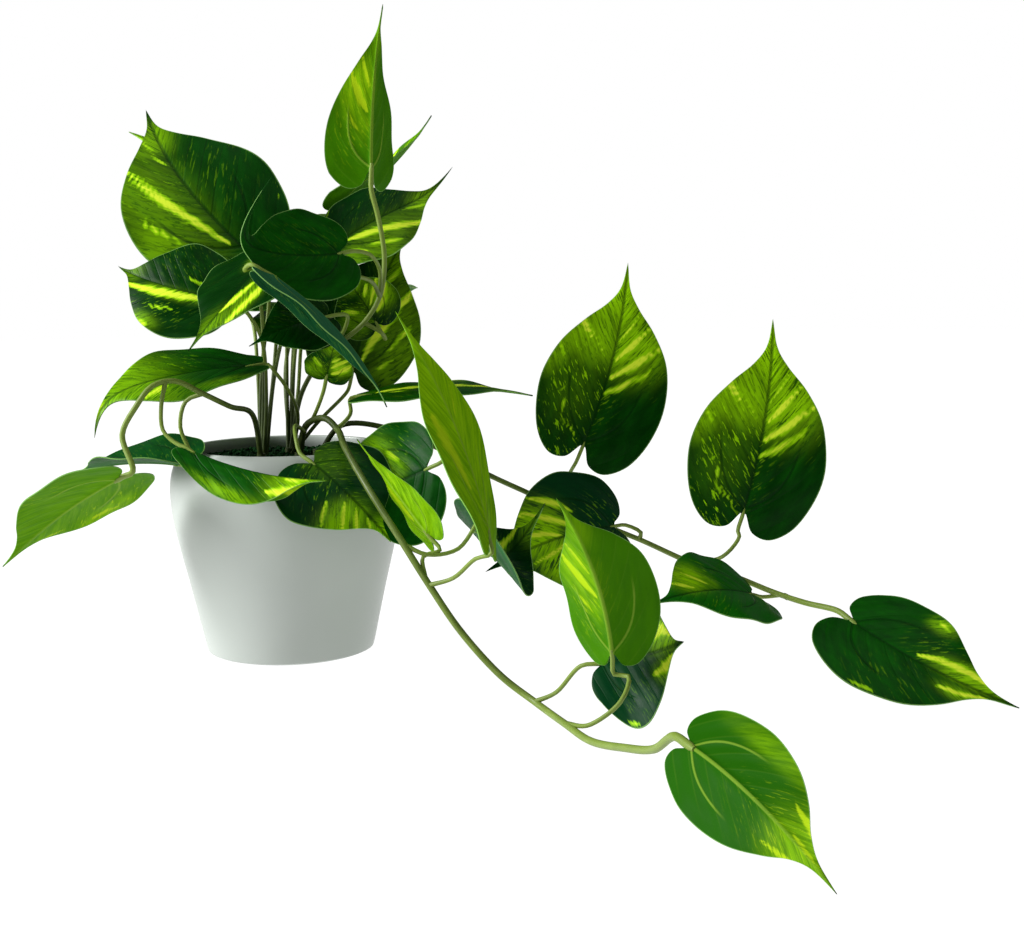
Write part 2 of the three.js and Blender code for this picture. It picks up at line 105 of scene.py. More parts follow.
# Age of a stem at its two ends, from 0 at the soil to 1 at a leaf, for its colour.
CROWN_AGE, VINE_AGE, SOIL_AGE, BRANCH_AGE = (0.0, 0.05), (0.1, 0.95), (0.05, 1.0), (0.5, 1.0)
SOIL_REACH = 5  # a petiole that starts nearer than this to its crown comes out of the soil
STEMS = {
    "stems_left": dict(
        crown=(-14, 6),
        petioles=dict(
            crown_left=[(-14, 6, 104), (-12, 8, 150), (-12, 4, 190), (-17, 3, 212)],
            upper_left=[(-13, 5, 104), (-10, 2, 140), (-10, -12, 172), (-18, -22, 188)],
            front_drooping=[(-12, 7, 104), (-6, 8, 150), (4, 4, 190), (9, -12, 213)],
            behind_crown=[(-15, 7, 104), (-14, 14, 150), (-10, 26, 200), (-16, 33, 226)],
            back_one=[(-13, 8, 104), (-8, 18, 150), (-4, 28, 200), (-3, 38, 219)],
            back_three=[(-15, 8, 104), (-17, 20, 150), (-21, 33, 178)],
        ),
    ),
    "stems_right": dict(
        crown=(0, 15),
        radius=1.4,
        vine=[
            (0, 15, 104), (8, 14, 140), (22, 8, 160), (44, 0, 178), (53, -3, 192), (56, -4, 212),
            (53, -5, 235),
        ],
        vine_leaf="top",
        petioles=dict(
            front_heart=[(53, -3, 192), (54, -12, 206), (50, -24, 214)],
            folded_right=[
                (53, -3, 192), (50, -18, 200), (42, -34, 203), (30, -48, 203), (20, -57.5, 203),
                (10, -62, 206), (-2, -66, 209), (-7, -77, 207),
            ],
            arching_left=[(2, 14, 108), (6, 8, 128), (2, -5, 144), (-3, -9, 152)],
            top_dark=[(1, 16, 104), (4, 18, 160), (13, 15, 205)],
            top_narrow=[(0, 17, 104), (3, 26, 170), (10, 40, 220)],
            right_dark=[(2, 16, 106), (15, 18, 122), (30, 27, 137)],
            small_mottled=[(2, 13, 106), (9, 4, 118), (18, -16, 130)],
            inner=[(44, 0, 178), (53, 6, 172)],
            under_crown=[(22, 8, 160), (32, 2, 172), (36, -8, 182)],
            back_two=[(0, 17, 104), (-2, 32, 160), (14, 38, 196), (28, 38, 198)],
            back_four=[(0, 17, 106), (4, 28, 140), (5, 39, 164)],
            back_five=[(-1, 16, 104), (-1, 26, 170), (4, 33, 228)],
        ),
    ),
    "vine_left": dict(
        crown=(-12, -9),
        radius=1.5,
        vine=[
            (-12, -9, 104), (-15, -15, 130), (-23, -39, 137), (-34, -54, 145), (-47, -60, 152),
            (-57, -65, 150), (-65, -68, 140), (-72, -70, 126),
        ],
        vine_leaf="left_end",
        petioles=dict(
            rim_left=[(-34, -54, 145), (-43, -53, 141), (-46, -54, 128), (-42, -53, 116)],
            pot_left=[(-51, -62.3, 151.8), (-53, -65, 140), (-52, -68, 128)],
        ),
    ),
    "vine_front": dict(
        crown=(8, -7),
        radius=1.8,
        vine=[
            (8, -7, 104), (13, -15, 124), (24, -25, 129), (32, -36, 124), (38, -58, 117),
            (52, -82, 98), (68, -98, 76), (82, -107, 55), (97, -115, 34), (116, -123, 14),
            (132, -132, 3.4), (145, -166, 2.4), (155, -194, 2.6), (168, -230, 10), (177, -262, 19),
        ],
        vine_leaf="vine_end",
        petioles=dict(
            pot_front=[(12, -13, 121), (10, -34, 126), (12, -50, 122)],
            side_long=[(32, -36, 124), (38, -26, 131)],
            along_vine=[(80, -105, 58), (79, -101, 68)],
            behind_tall=[(69, -99, 74), (81, -101, 69), (96, -97, 71)],
            tall_bright=[(82, -107, 55), (94, -115, 60), (105, -125, 71)],
            vine_low=[(132, -132, 3.4), (142, -140, 10)],
            vine_bright=[
                (145, -166, 2.4), (156, -184, 7), (169, -187, 18), (173, -178, 27),
            ],
        ),
    ),
    "vine_right": dict(
        crown=(16, 8),
        radius=1.5,
        vine=[
            (16, 8, 104), (30, 6, 122), (60, 4, 119), (85, 2, 108), (109, 0, 95), (128, -1, 86),
            (160, 9, 70), (192, 6, 57), (217, -28, 50), (238, -42, 45), (256, -54, 39),
            (269, -78, 38),
        ],
        vine_leaf="right_end",
        petioles=dict(
            pot_right=[(95, 1, 103), (97, -22, 111), (97, -46, 117), (95, -58, 118)],
            upright_near=[(148, 5, 76), (151, 9, 86), (155, 4, 96)],
            right_low=[(192, 6, 57), (193, 4, 61)],
            upright_far=[(217, -28, 50), (232, -40, 55), (240, -47, 67)],
            right_small=[(262, -65, 38), (262, -58, 38)],
        ),
    ),
}

# ---- stage ----
FLOOR_RINGS = [0, 300, 1500, 4000]
FLOOR_SEGMENTS = 96
FLOOR_DROP = 0.0002  # the floor lies just under the pot, in metres
# Soft lamps: name, place and size in metres, and the setting that holds the power.
LAMPS = [
    ("key_softbox", (-1.65, -0.35, 0.9), 0.9, "key"),
    ("top_softbox", (0.2, -0.3, 1.9), 1.4, "top"),
    ("right_softbox", (1.6, 0.5, 0.9), 0.8, "rim"),
]
LAMP_AIM = (0.1, -0.05, 0.12)
SENSOR_WIDTH = 36

# ---- leaves ----
# Outline of one half as (along, across), and where on the midrib the same row starts.
OUTLINE = [
    (0, 0), (0, 0.055), (-0.075, 0.2), (-0.085, 0.48), (0, 0.77), (0.15, 0.95),
    (0.32, 1), (0.5, 0.86), (0.65, 0.56), (0.76, 0.26), (0.86, 0.075), (1, 0),
]
MIDRIB = [0, 0.02, 0.05, 0.08, 0.13, 0.22, 0.34, 0.48, 0.62, 0.75, 0.87, 1]
COLUMN_POWER = 1.35  # columns of points lie closer together at the midrib
HOOK_POWER = 10  # a hook bends the last part of a leaf only
TWIST_REST = 0.3  # place along a leaf where its twist is nil

# Side veins: their distance on the midrib, and how far they sweep towards the tip on the way out.
VEIN_STEP = 0.12
VEIN_RISE, VEIN_CURVE, VEIN_SPREAD = 0.22, 0.15, 0.5
# The two ribs of the lobes: outwards from the base first, then towards the tip.
LOBE_START, LOBE_PULL, LOBE_REACH, LOBE_SLOPE = 0.03, 8.0, 0.62, 1.65
LOBE_FOOT, LOBE_END, LOBE_FADE = 0.02, 0.4, 0.125

# Relief of a blade in millimetres.
GROOVE_WIDTH, RIDGE_WIDTH, LOBE_WIDTH = 0.9, 1.0, 1.3
LOBE_GROOVE, LOBE_RIDGE = 0.2, 0.3
GROOVE_TIP, RIDGE_TIP = 0.35, 0.15  # share of the groove and ridge that is left at the tip
MARGIN_THIN = 0.35  # share of the thickness that the margin lacks
QUILT_FADE = 6  # distance from the midrib over which the quilting grows
WAVES_ALONG = (2.2, 3.4)
WAVE_PHASES = (0, 6.28)
WAVE_SHIFT = 1.3  # the waves of the two halves don't meet at the midrib
WAVE_STOP = 0.25  # last part of a leaf, over which its waves die away
SEEDS = 60

# Width of a painted streak at its ends, and what its middle adds; and how sharply a zone ends.
STREAK_END, STREAK_MIDDLE = 0.45, 0.75
ZONE_POWER = 1.5

# Painted marks in percent of a leaf, with across positive on the right half of the upper side.
# streaks: (half width in millimetres, strength, (along, across), (along, across), ...).
# lime and flecks: (along, across, reach along, reach across, strength).
PRINTS = dict(
    speckled_tip=dict(
        streaks=[
            (1.3, 100, (47, 4), (57, 26), (69, 50)), (1.7, 100, (38, 5), (47, 34), (59, 70)),
            (1.0, 80, (57, 4), (66, 18), (75, 30)), (2.4, 60, (30, 3), (37, 30), (46, 62)),
            (2.2, 95, (57, -40), (63, -54), (68, -64)), (1.0, 60, (48, -14), (60, -40)),
            (1.2, 60, (40, -72), (52, -88)), (0.8, 60, (3, -14), (10, -45), (26, -62)),
        ],
        lime=[
            (86, 0, 27, 90, 95), (57, 30, 17, 50, 80), (60, -35, 18, 60, 70), (45, -90, 14, 25, 50),
            (34, -50, 26, 42, 12),
        ],
        flecks=[(36, -45, 34, 55, 130), (0, -50, 14, 40, 130), (50, 75, 14, 30, 50)],
    ),
    half_gold=dict(
        streaks=[
            (2.2, 100, (8, -10), (28, -24), (50, -42), (66, -56)),
            (1.3, 70, (20, -50), (32, -66), (44, -76)), (1.2, 70, (6, -40), (16, -66)),
            (1.4, 50, (60, -8), (80, -20)),
        ],
        lime=[
            (40, -50, 40, 52, 26), (22, -75, 20, 40, 40), (80, -10, 14, 30, 45),
            (8, -60, 12, 35, 35),
        ],
        flecks=[(45, -45, 34, 50, 60), (10, 90, 6, 12, 90), (50, 35, 30, 50, 25)],
    ),
    side_streak=dict(
        streaks=[
            (2.2, 100, (6, -6), (30, -14), (55, -18), (78, -22)), (1.0, 60, (10, 16), (30, 28)),
            (1.6, 70, (42, -92), (56, -78)), (0.8, 60, (30, -44), (50, -50)),
        ],
        lime=[(34, -12, 30, 13, 35), (50, -82, 12, 16, 50), (86, 5, 14, 30, 30)],
        flecks=[(45, -50, 25, 30, 60), (40, 60, 30, 40, 30)],
    ),
    two_streaks=dict(
        streaks=[
            (2.0, 95, (26, -50), (45, -46), (62, -40), (76, -33)),
            (2.0, 90, (36, -22), (50, -14), (66, -2)), (1.5, 90, (4, 6), (16, 20)),
        ],
        lime=[(80, -15, 18, 30, 40), (12, 15, 10, 16, 50), (50, -36, 26, 20, 40)],
        flecks=[(50, -30, 30, 30, 30)],
    ),
    plain=dict(streaks=[], lime=[], flecks=[(30, 30, 40, 50, 15)]),
    lime_end=dict(
        streaks=[
            (2.4, 100, (62, 70), (72, 56), (78, 42)), (1.5, 80, (50, -30), (66, -50)),
            (1.5, 60, (86, 10), (95, 2)),
        ],
        lime=[(80, 10, 32, 90, 50), (60, -60, 20, 50, 35), (20, -80, 20, 20, 25)],
        flecks=[(50, 40, 20, 50, 80)],
    ),
    mottled=dict(
        streaks=[
            (1.8, 90, (18, 20), (30, 50), (46, 85)), (1.3, 90, (32, 12), (44, 38), (58, 66)),
            (1.2, 70, (46, 10), (60, 36)), (1.5, 70, (30, -30), (46, -66)),
        ],
        lime=[(36, 50, 22, 45, 70), (20, -50, 20, 40, 45), (75, 0, 16, 40, 60)],
        flecks=[(30, 0, 45, 90, 90)],
    ),
    middle_patch=dict(
        streaks=[(1.5, 80, (46, 16), (60, 50)), (1.3, 80, (60, 10), (76, 30))],
        lime=[(58, 36, 16, 36, 90), (42, 20, 8, 20, 40)],
        flecks=[(50, 40, 22, 40, 100), (50, -40, 16, 30, 40)],
    ),
    tip_streaks=dict(
        streaks=[
            (1.5, 90, (60, 26), (74, 20), (84, 10)),
            (1.8, 100, (42, -10), (56, -20), (72, -22), (82, -14)), (1.4, 70, (40, -86), (50, -72)),
            (0.9, 60, (26, 95), (40, 92)),
        ],
        lime=[(74, -14, 20, 20, 70), (44, -80, 10, 16, 60), (72, 22, 12, 14, 50)],
        flecks=[(60, -30, 25, 50, 50), (40, 60, 20, 30, 25)],
    ),
    broad_yellow=dict(
        streaks=[
            (2.6, 100, (36, 12), (46, 40), (58, 70)), (1.6, 90, (50, 10), (60, 30), (68, 48)),
            (1.4, 70, (24, 30), (34, 56)),
        ],
        lime=[(50, 42, 20, 42, 90), (30, 20, 12, 20, 50), (80, 0, 16, 30, 50)],
        flecks=[(40, 40, 30, 50, 70)],
    ),
    banded=dict(
        streaks=[
            (1.7, 100, (34, 10), (46, 30), (60, 50), (70, 56)),
            (1.5, 100, (44, 2), (56, 14), (72, 22)), (1.5, 90, (30, 34), (42, 56), (56, 76)),
            (1.3, 90, (40, -10), (54, -20), (70, -24)), (1.2, 80, (34, -30), (48, -46), (60, -52)),
            (0.9, 80, (0, -50), (8, -72)), (0.9, 80, (10, -50), (20, -74)),
            (0.8, 70, (-2, -30), (6, -44)),
        ],
        lime=[(60, 20, 20, 45, 100), (52, -30, 18, 40, 90), (10, -70, 14, 24, 40)],
        flecks=[(10, 20, 20, 30, 50), (8, -60, 20, 40, 80)],
    ),
    rim_flecks=dict(
        streaks=[(1.6, 90, (30, 86), (50, 72)), (1.2, 70, (62, 44), (74, 26))],
        lime=[(40, 80, 35, 25, 80), (70, 30, 20, 30, 50), (50, 0, 70, 120, 35)],
        flecks=[(35, 70, 35, 35, 100), (40, -80, 30, 20, 60)],
    ),
    gold_tip=dict(
        streaks=[
            (1.4, 90, (62, 40), (76, 30), (90, 14)), (1.3, 80, (60, -40), (76, -30), (90, -14)),
            (1.0, 70, (70, 6), (86, 2)),
        ],
        lime=[(80, 0, 20, 70, 70), (40, 80, 30, 20, 50)],
        flecks=[(70, 0, 30, 60, 60)],
    ),
    rows_of_gold=dict(
        streaks=[
            (1.2, 100, (50, 14), (60, 36), (68, 50)), (1.1, 100, (60, 8), (70, 24), (78, 34)),
            (1.2, 90, (40, 34), (50, 60), (58, 76)), (1.0, 90, (72, 4), (82, 14)),
        ],
        lime=[(62, 36, 16, 42, 80), (92, 0, 16, 40, 90), (10, -20, 20, 40, 15)],
        flecks=[(50, 30, 25, 50, 70), (10, -10, 25, 50, 60)],
    ),
    pale=dict(
        streaks=[(2.6, 85, (20, 30), (40, 50), (56, 50)), (1.6, 50, (50, -20), (66, -40))],
        lime=[(45, 0, 80, 150, 100)],
        flecks=[(50, 0, 50, 80, 30)],
    ),
)


def leaf(marks, base, tip, face, half, **more):
    """One leaf's painted marks, place and shape, with the same values as its frame node."""
    place = dict(base=base, tip=tip, face=face, half=half)
    shape = dict(bow=0, sway=0, fold=4, curl=12, hook=0, twist=0, taper=0)
    # Its teal value is the strength of a painted sheen, blue-grey as the white surroundings reflect
    # on a dark leaf.
    # tone sets a leaf's green from dark to bright: partly its own colour, partly painted light and
    # shade for how brightly each leaf is lit.
    look = dict(marks=marks, tone=0.25, teal=0.0, flip=1)
    return place | shape | look | more


# By the names of their nodes without leaf_.
LEAVES = dict(
    crown_left=leaf("half_gold", (-19, 11, 217), (-82, 62, 297), (0, -0.8, 0.5), 43, bow=7, sway=-8,
        fold=6, tone=0.2),
    upper_left=leaf("side_streak", (-30, -20, 192), (-87, 6, 208), (-0.45, -0.65, 0.55), 28, bow=6,
        sway=-4, fold=8, curl=16, hook=3, tone=0.05),
    front_drooping=leaf("two_streaks", (-1, -30, 215), (-36, -78, 168), (-0.4, -0.75, 0.5), 27,
        bow=4, sway=-4, curl=10, tone=0.0),
    front_heart=leaf("plain", (37, -40, 215), (-22, -84, 222), (0.6, -0.7, 0.4), 25, bow=2, sway=-5,
        curl=6, hook=(30, 4, 30), tone=0.4),
    folded_right=leaf("plain", (6, -88, 205), (62, -90, 140), (-0.6, -0.3, -0.5), 12, bow=-7,
        fold=38, curl=10, tone=0.3, teal=1.0),
    under_crown=leaf("plain", (26, -20, 182), (-12, -40, 168), (-0.1, -0.8, 0.4), 18, bow=4,
        tone=0.0),
    arching_left=leaf("lime_end", (-16, -8, 156), (-102, -31, 139), (-0.3, -0.5, 0.8), 17, bow=4,
        fold=8, curl=8, hook=(7, -3, -18), twist=-12, taper=-1.5, tone=0.3),
    top=leaf("broad_yellow", (50, -5, 257), (57, 10, 346), (-0.45, 0.89, 0), 29, sway=2,
        fold=(28, 42), curl=8, taper=0.7, tone=0.5),
    top_dark=leaf("half_gold", (27, 26, 220), (84, 56, 248), (0.2, -0.6, 0.75), 26, bow=5, sway=1,
        hook=(7, 2, 15), twist=20, tone=0.0, teal=0.1, flip=-1),
    top_narrow=leaf("half_gold", (26, 58, 240), (79, 72, 293), (-0.6, 0.1, 0.75), 19, bow=-4,
        fold=20, curl=4, twist=60, taper=0.6, tone=0.6),
    right_dark=leaf("half_gold", (34, 32, 149), (65, 42, 225), (0.1, -1, 0.2), 32, bow=6, sway=-3,
        tone=0.05, flip=-1),
    small_mottled=leaf("mottled", (26, -28, 150), (32, -33, 171), (0.1, -1, 0.2), 13, bow=2,
        tone=0.2),
    inner=leaf("mottled", (50, 14, 176), (30, 14, 206), (0.2, -0.8, 0.3), 20, bow=3, curl=8,
        tone=0.1),
    behind_crown=leaf("speckled_tip", (-22, 46, 232), (-98, 88, 287), (0.1, -0.7, 0.6), 30, bow=5,
        sway=3, fold=6, tone=0.2),
    back_one=leaf("speckled_tip", (-12, 52, 206), (-38, 122, 196), (-0.1, 0.3, 0.9), 33, bow=8,
        fold=6),
    back_two=leaf("tip_streaks", (34, 48, 196), (50, 125, 178), (0.1, 0.3, 0.9), 30, bow=8, fold=6),
    back_three=leaf("half_gold", (-30, 45, 185), (-75, 110, 172), (-0.2, 0.3, 0.9), 31, bow=8,
        fold=6),
    back_four=leaf("mottled", (5, 50, 170), (0, 125, 172), (0, 0, 1), 30, bow=10, fold=6),
    back_five=leaf("lime_end", (8, 52, 226), (24, 116, 236), (0, 0.1, 1), 28, bow=6, fold=6),
    rim_left=leaf("plain", (-48, -46, 108), (-116, 2, 98), (0, -0.2, 1), 25, bow=3, fold=26,
        curl=10, tone=0.35, teal=0.5),
    left_end=leaf("rim_flecks", (-73, -72, 105), (-147, -32, 53), (-0.33, 0.53, 0.78), 28, bow=4,
        fold=8, curl=14, tone=0.55),
    pot_left=leaf("gold_tip", (-38, -74, 119), (34, -101, 106), (0.05, -0.1, 1), 12, bow=-4,
        fold=(-42, -60), curl=8, taper=-1.6, tone=0.4),
    pot_front=leaf("rows_of_gold", (21, -60, 110), (62, -81, 72), (-0.1, -0.55, 0.8), 33, bow=4,
        fold=(6, -6), curl=8, tone=0.1, teal=0.5),
    pot_right=leaf("broad_yellow", (80, -60, 106), (28, -67, 92), (-0.3, -0.9, 0.3), 35, bow=-8,
        fold=(-10, 4), curl=10, tone=0.4, teal=0.2),
    along_vine=leaf("pale", (82, -95, 77), (45, -66, 122), (0.75, 0.6, -0.1), 12, fold=22, curl=6,
        taper=0.8, tone=0.45),
    side_long=leaf("side_streak", (46, -15, 140), (134, -30, 140), (0, -0.12, 1), 24, bow=4,
        tone=0.35),
    tall_bright=leaf("pale", (111, -126, 82), (68, -104, 187), (-0.8, 0.6, -0.4), 14, bow=3,
        sway=-12, fold=8, curl=6, twist=-60, taper=-0.5, tone=1.0),
    behind_tall=leaf("side_streak", (107, -86, 78), (139, -64, 88), (0.1, -0.6, 0.7), 30, bow=-30,
        curl=6, tone=0.1, teal=0.6),
    vine_bright=leaf("broad_yellow", (166, -178, 36), (141, -203, 111), (0.25, 0.9, 0.2), 27, bow=2,
        sway=-4, fold=34, curl=-8, tone=0.55),
    vine_low=leaf("tip_streaks", (162, -150, 26), (198, -172, 41), (-0.56, -0.7, 0.45), 25, bow=-4,
        curl=6, taper=-1, tone=0.1, teal=0.8),
    # Its tone below nil is painted shade: this underside is darkened against the key light that
    # falls on it.
    vine_end=leaf("gold_tip", (187, -297, 31), (228, -371, 2), (0.7, 0.56, -0.42), 22, bow=-3,
        sway=4, fold=(20, 0), curl=4, tone=-0.25),
    upright_near=leaf("speckled_tip", (161, 0, 109), (188, 27, 208), (0.1, -0.95, 0.25), 35, bow=4,
        sway=4, fold=5, tone=0.2),
    upright_far=leaf("speckled_tip", (242, -45, 78), (260, -25, 178), (0.05, -0.97, 0.18), 36,
        bow=4, sway=3, fold=5, tone=0.2),
    right_low=leaf("banded", (178, -3, 66), (108, -48, 50), (0.4, -0.75, 0.45), 35, bow=6, sway=3,
        fold=6, tone=0.1, teal=0.8),
    right_small=leaf("middle_patch", (245, -60, 39), (190, -101, 43), (0.15, -0.45, 0.9), 30, bow=5,
        fold=8, curl=8, tone=1.0, teal=0.1),
    right_end=leaf("tip_streaks", (287, -100, 34), (356, -148, 2), (0.1, -0.7, 0.65), 31, bow=5,
        sway=7, fold=6, tone=0.3),
)


# ---- shared shape helpers ----
def smooth_row(values, steps):
    """Points of a smooth curve through a row of values, evenly spread over its knots."""
    knots = np.array(values, float).reshape(len(values), -1)
    padded = np.vstack([2 * knots[0] - knots[1], knots, 2 * knots[-1] - knots[-2]])
    place = np.linspace(0, len(knots) - 1, steps)
    i = np.minimum(place.astype(int), len(knots) - 2)
    t = (place - i)[:, None]
    a, b, c, d = (padded[i + k] for k in range(4))
    square, cube = 2 * a - 5 * b + 4 * c - d, 3 * b - a - 3 * c + d
    return 0.5 * (2 * b + (c - a) * t + square * t**2 + cube * t**3)


def unit(v):
    return v / np.linalg.norm(v, axis=-1, keepdims=True)


def mesh_piece(name, points, faces, materials, face_material=None, crease=60):
    """A new object from points in millimetres, smooth and with its sharp edges marked."""
    mesh = bpy.data.meshes.new(name)
    mesh.from_pydata((np.asarray(points, float) * MM).tolist(), [], faces)
    for material in materials:
        mesh.materials.append(material)
    if face_material is not None:
        mesh.polygons.foreach_set("material_index", face_material)
    mesh.polygons.foreach_set("use_smooth", [True] * len(mesh.polygons))
    mesh.update()
    mesh.set_sharp_from_angle(angle=math.radians(crease))
    piece = bpy.data.objects.new(name, mesh)
    bpy.context.scene.collection.objects.link(piece)
    return piece


def skin(rings):
    """Faces between rings of point numbers; a number that repeats draws its ring to a point."""
    faces = []
    for low, high in zip(rings, rings[1:]):
        for face in zip(low, [*low[1:], low[0]], [*high[1:], high[0]], high):
            face = tuple(dict.fromkeys(face))
            if len(face) > 2:
                faces.append(face)
    return faces


def add_field(piece, name, values):
    """Stores one number or one vector per point for the shader to read."""
    values = np.asarray(values, np.float32)
    kind, key = ("FLOAT", "value") if values.ndim == 1 else ("FLOAT_VECTOR", "vector")
    field = piece.data.attributes.new(name, kind, "POINT")
    field.data.foreach_set(key, values.ravel())


def dress(piece, node):
    """Puts a finished piece on the frame, in place of its node."""
    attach(piece, BODY)
    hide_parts(node)


# ---- materials ----
class Finish:
    """Nodes of one material, added a step at a time."""

    def __init__(self, name, roughness, specular=0.5):
        self.material = bpy.data.materials.new(name)
        self.material.use_nodes = True
        self.tree = self.material.node_tree
        self.shader = self.tree.nodes["Principled BSDF"].inputs
        self.shader["Roughness"].default_value = roughness
        self.shader["Specular IOR Level"].default_value = specular

    def feed(self, socket, value):
        """Links a node's result to a socket, or sets a plain number or colour on it."""
        if isinstance(value, bpy.types.NodeSocket):
            self.tree.links.new(value, socket)
        elif socket.type == "RGBA":
            socket.default_value = (*value, 1.0)
        else:
            socket.default_value = value

    def add(self, kind, values=(), **settings):
        node = self.tree.nodes.new(kind)
        for key, value in settings.items():
            setattr(node, key, value)
        for key, value in dict(values).items():
            self.feed(node.inputs[key], value)
        return node.outputs

    def math(self, operation, a, b=0.0, c=0.0):
        return self.add("ShaderNodeMath", {0: a, 1: b, 2: c}, operation=operation)[0]

    plus = partialmethod(math, "ADD")
    minus = partialmethod(math, "SUBTRACT")
    times = partialmethod(math, "MULTIPLY")
    most = partialmethod(math, "MAXIMUM")
    absolute = partialmethod(math, "ABSOLUTE")

    def ruffle(self, value, noise, amount):
        """The value, moved up and down by a noise."""
        return self.math("MULTIPLY_ADD", self.minus(noise, 0.5), amount, value)

    def field(self, name):
        """The three values of a stored field."""
        source = self.add("ShaderNodeAttribute", attribute_name=name)
        return tuple(self.add("ShaderNodeSeparateXYZ", {0: source["Vector"]}))

    def vector(self, x, y, z=0.0):
        return self.add("ShaderNodeCombineXYZ", {0: x, 1: y, 2: z})[0]

    def noise(self, vector=None, scale=1.0, detail=2.0, rough=0.5):
        """A noise over the vector, or over the place on the piece in metres."""
        if vector is None:
            vector = self.add("ShaderNodeTexCoord")["Object"]
        values = {"Vector": vector, "Scale": scale, "Detail": detail, "Roughness": rough}
        return self.add("ShaderNodeTexNoise", values)["Fac"]

    def step(self, value, low, high, out_low=0.0, out_high=1.0):
        """A soft step of the value from low to high."""
        keys = ("Value", "From Min", "From Max", "To Min", "To Max")
        values = zip(keys, (value, low, high, out_low, out_high))
        return self.add("ShaderNodeMapRange", values, interpolation_type="SMOOTHSTEP")["Result"]

    def mix(self, amount, first, second):
        values = {0: amount, 6: first, 7: second}
        return self.add("ShaderNodeMix", values, data_type="RGBA", clamp_factor=True)[2]

    def surface(self, base, roughness=None, relief=None, depth=0.0, strength=0.6):
        """Feeds the shader with its colour, roughness and a bump of some depth in metres."""
        self.feed(self.shader["Base Color"], base)
        if roughness is not None:
            self.feed(self.shader["Roughness"], roughness)
        if relief is not None:
            values = {"Height": relief, "Distance": depth, "Strength": strength}
            self.feed(self.shader["Normal"], self.add("ShaderNodeBump", values)["Normal"])
        return self.material


def glazed_white(look):
    """Satin glaze, grey-white with a faint green cast that is painted reflection of the leaves,
    with a faint cloud in its colour and a very fine grain.
    """
    f = Finish("glazed_white", look.roughness)
    cloud = f.noise(scale=18.0, detail=3.0)
    fine = f.noise(scale=700.0)
    # Both glaze tones carry a faint green cast: painted reflection of the leaves around the pot.
    base = f.mix(f.step(cloud, 0.3, 0.7), look.glaze, look.glaze_shade)
    matt = f.step(fine, 0.3, 0.7, look.roughness - 0.04, look.roughness + 0.05)
    return f.surface(base, matt, fine, 0.00004, 0.5)


def moss_green(look):
    """Near-black painted shade for the hollows, laid in patches by a noise, green clumps and bright
    specks.
    """
    f = Finish("moss_green", 0.9, specular=0.03)
    cloud = f.noise(scale=90.0, detail=4.0, rough=0.6)
    crumb = f.noise(scale=1500.0, rough=0.6)
    # painted shade: the near-black lies in noise patches that stand for shaded hollows
    patch = f.mix(f.step(cloud, 0.35, 0.68), look.moss_hollow_shade, look.moss_light)
    base = f.mix(f.step(crumb, 0.5, 0.75, 0.0, 0.5), patch, look.moss_tip)
    return f.surface(base, relief=crumb, depth=0.0004, strength=0.9)


def stem_green(look):
    """Olive near the soil, yellow-green towards the leaves, with fine streaks along the stem."""
    f = Finish("stem_green", 0.45, specular=0.25)
    age, around, length = f.field("stem_place")
    streak = f.noise(f.vector(f.times(around, 3.0), length), detail=3.0, rough=0.6)
    cloud = f.noise(scale=60.0)
    green = f.mix(f.step(f.ruffle(age, cloud, 0.5), 0.0, 0.85), look.stem_old, look.stem_young)
    base = f.mix(f.step(streak, 0.5, 0.8, 0.0, 0.4), green, look.stem_pale)
    return f.surface(base, f.step(streak, 0.2, 0.8, 0.38, 0.52), streak, 0.00015)


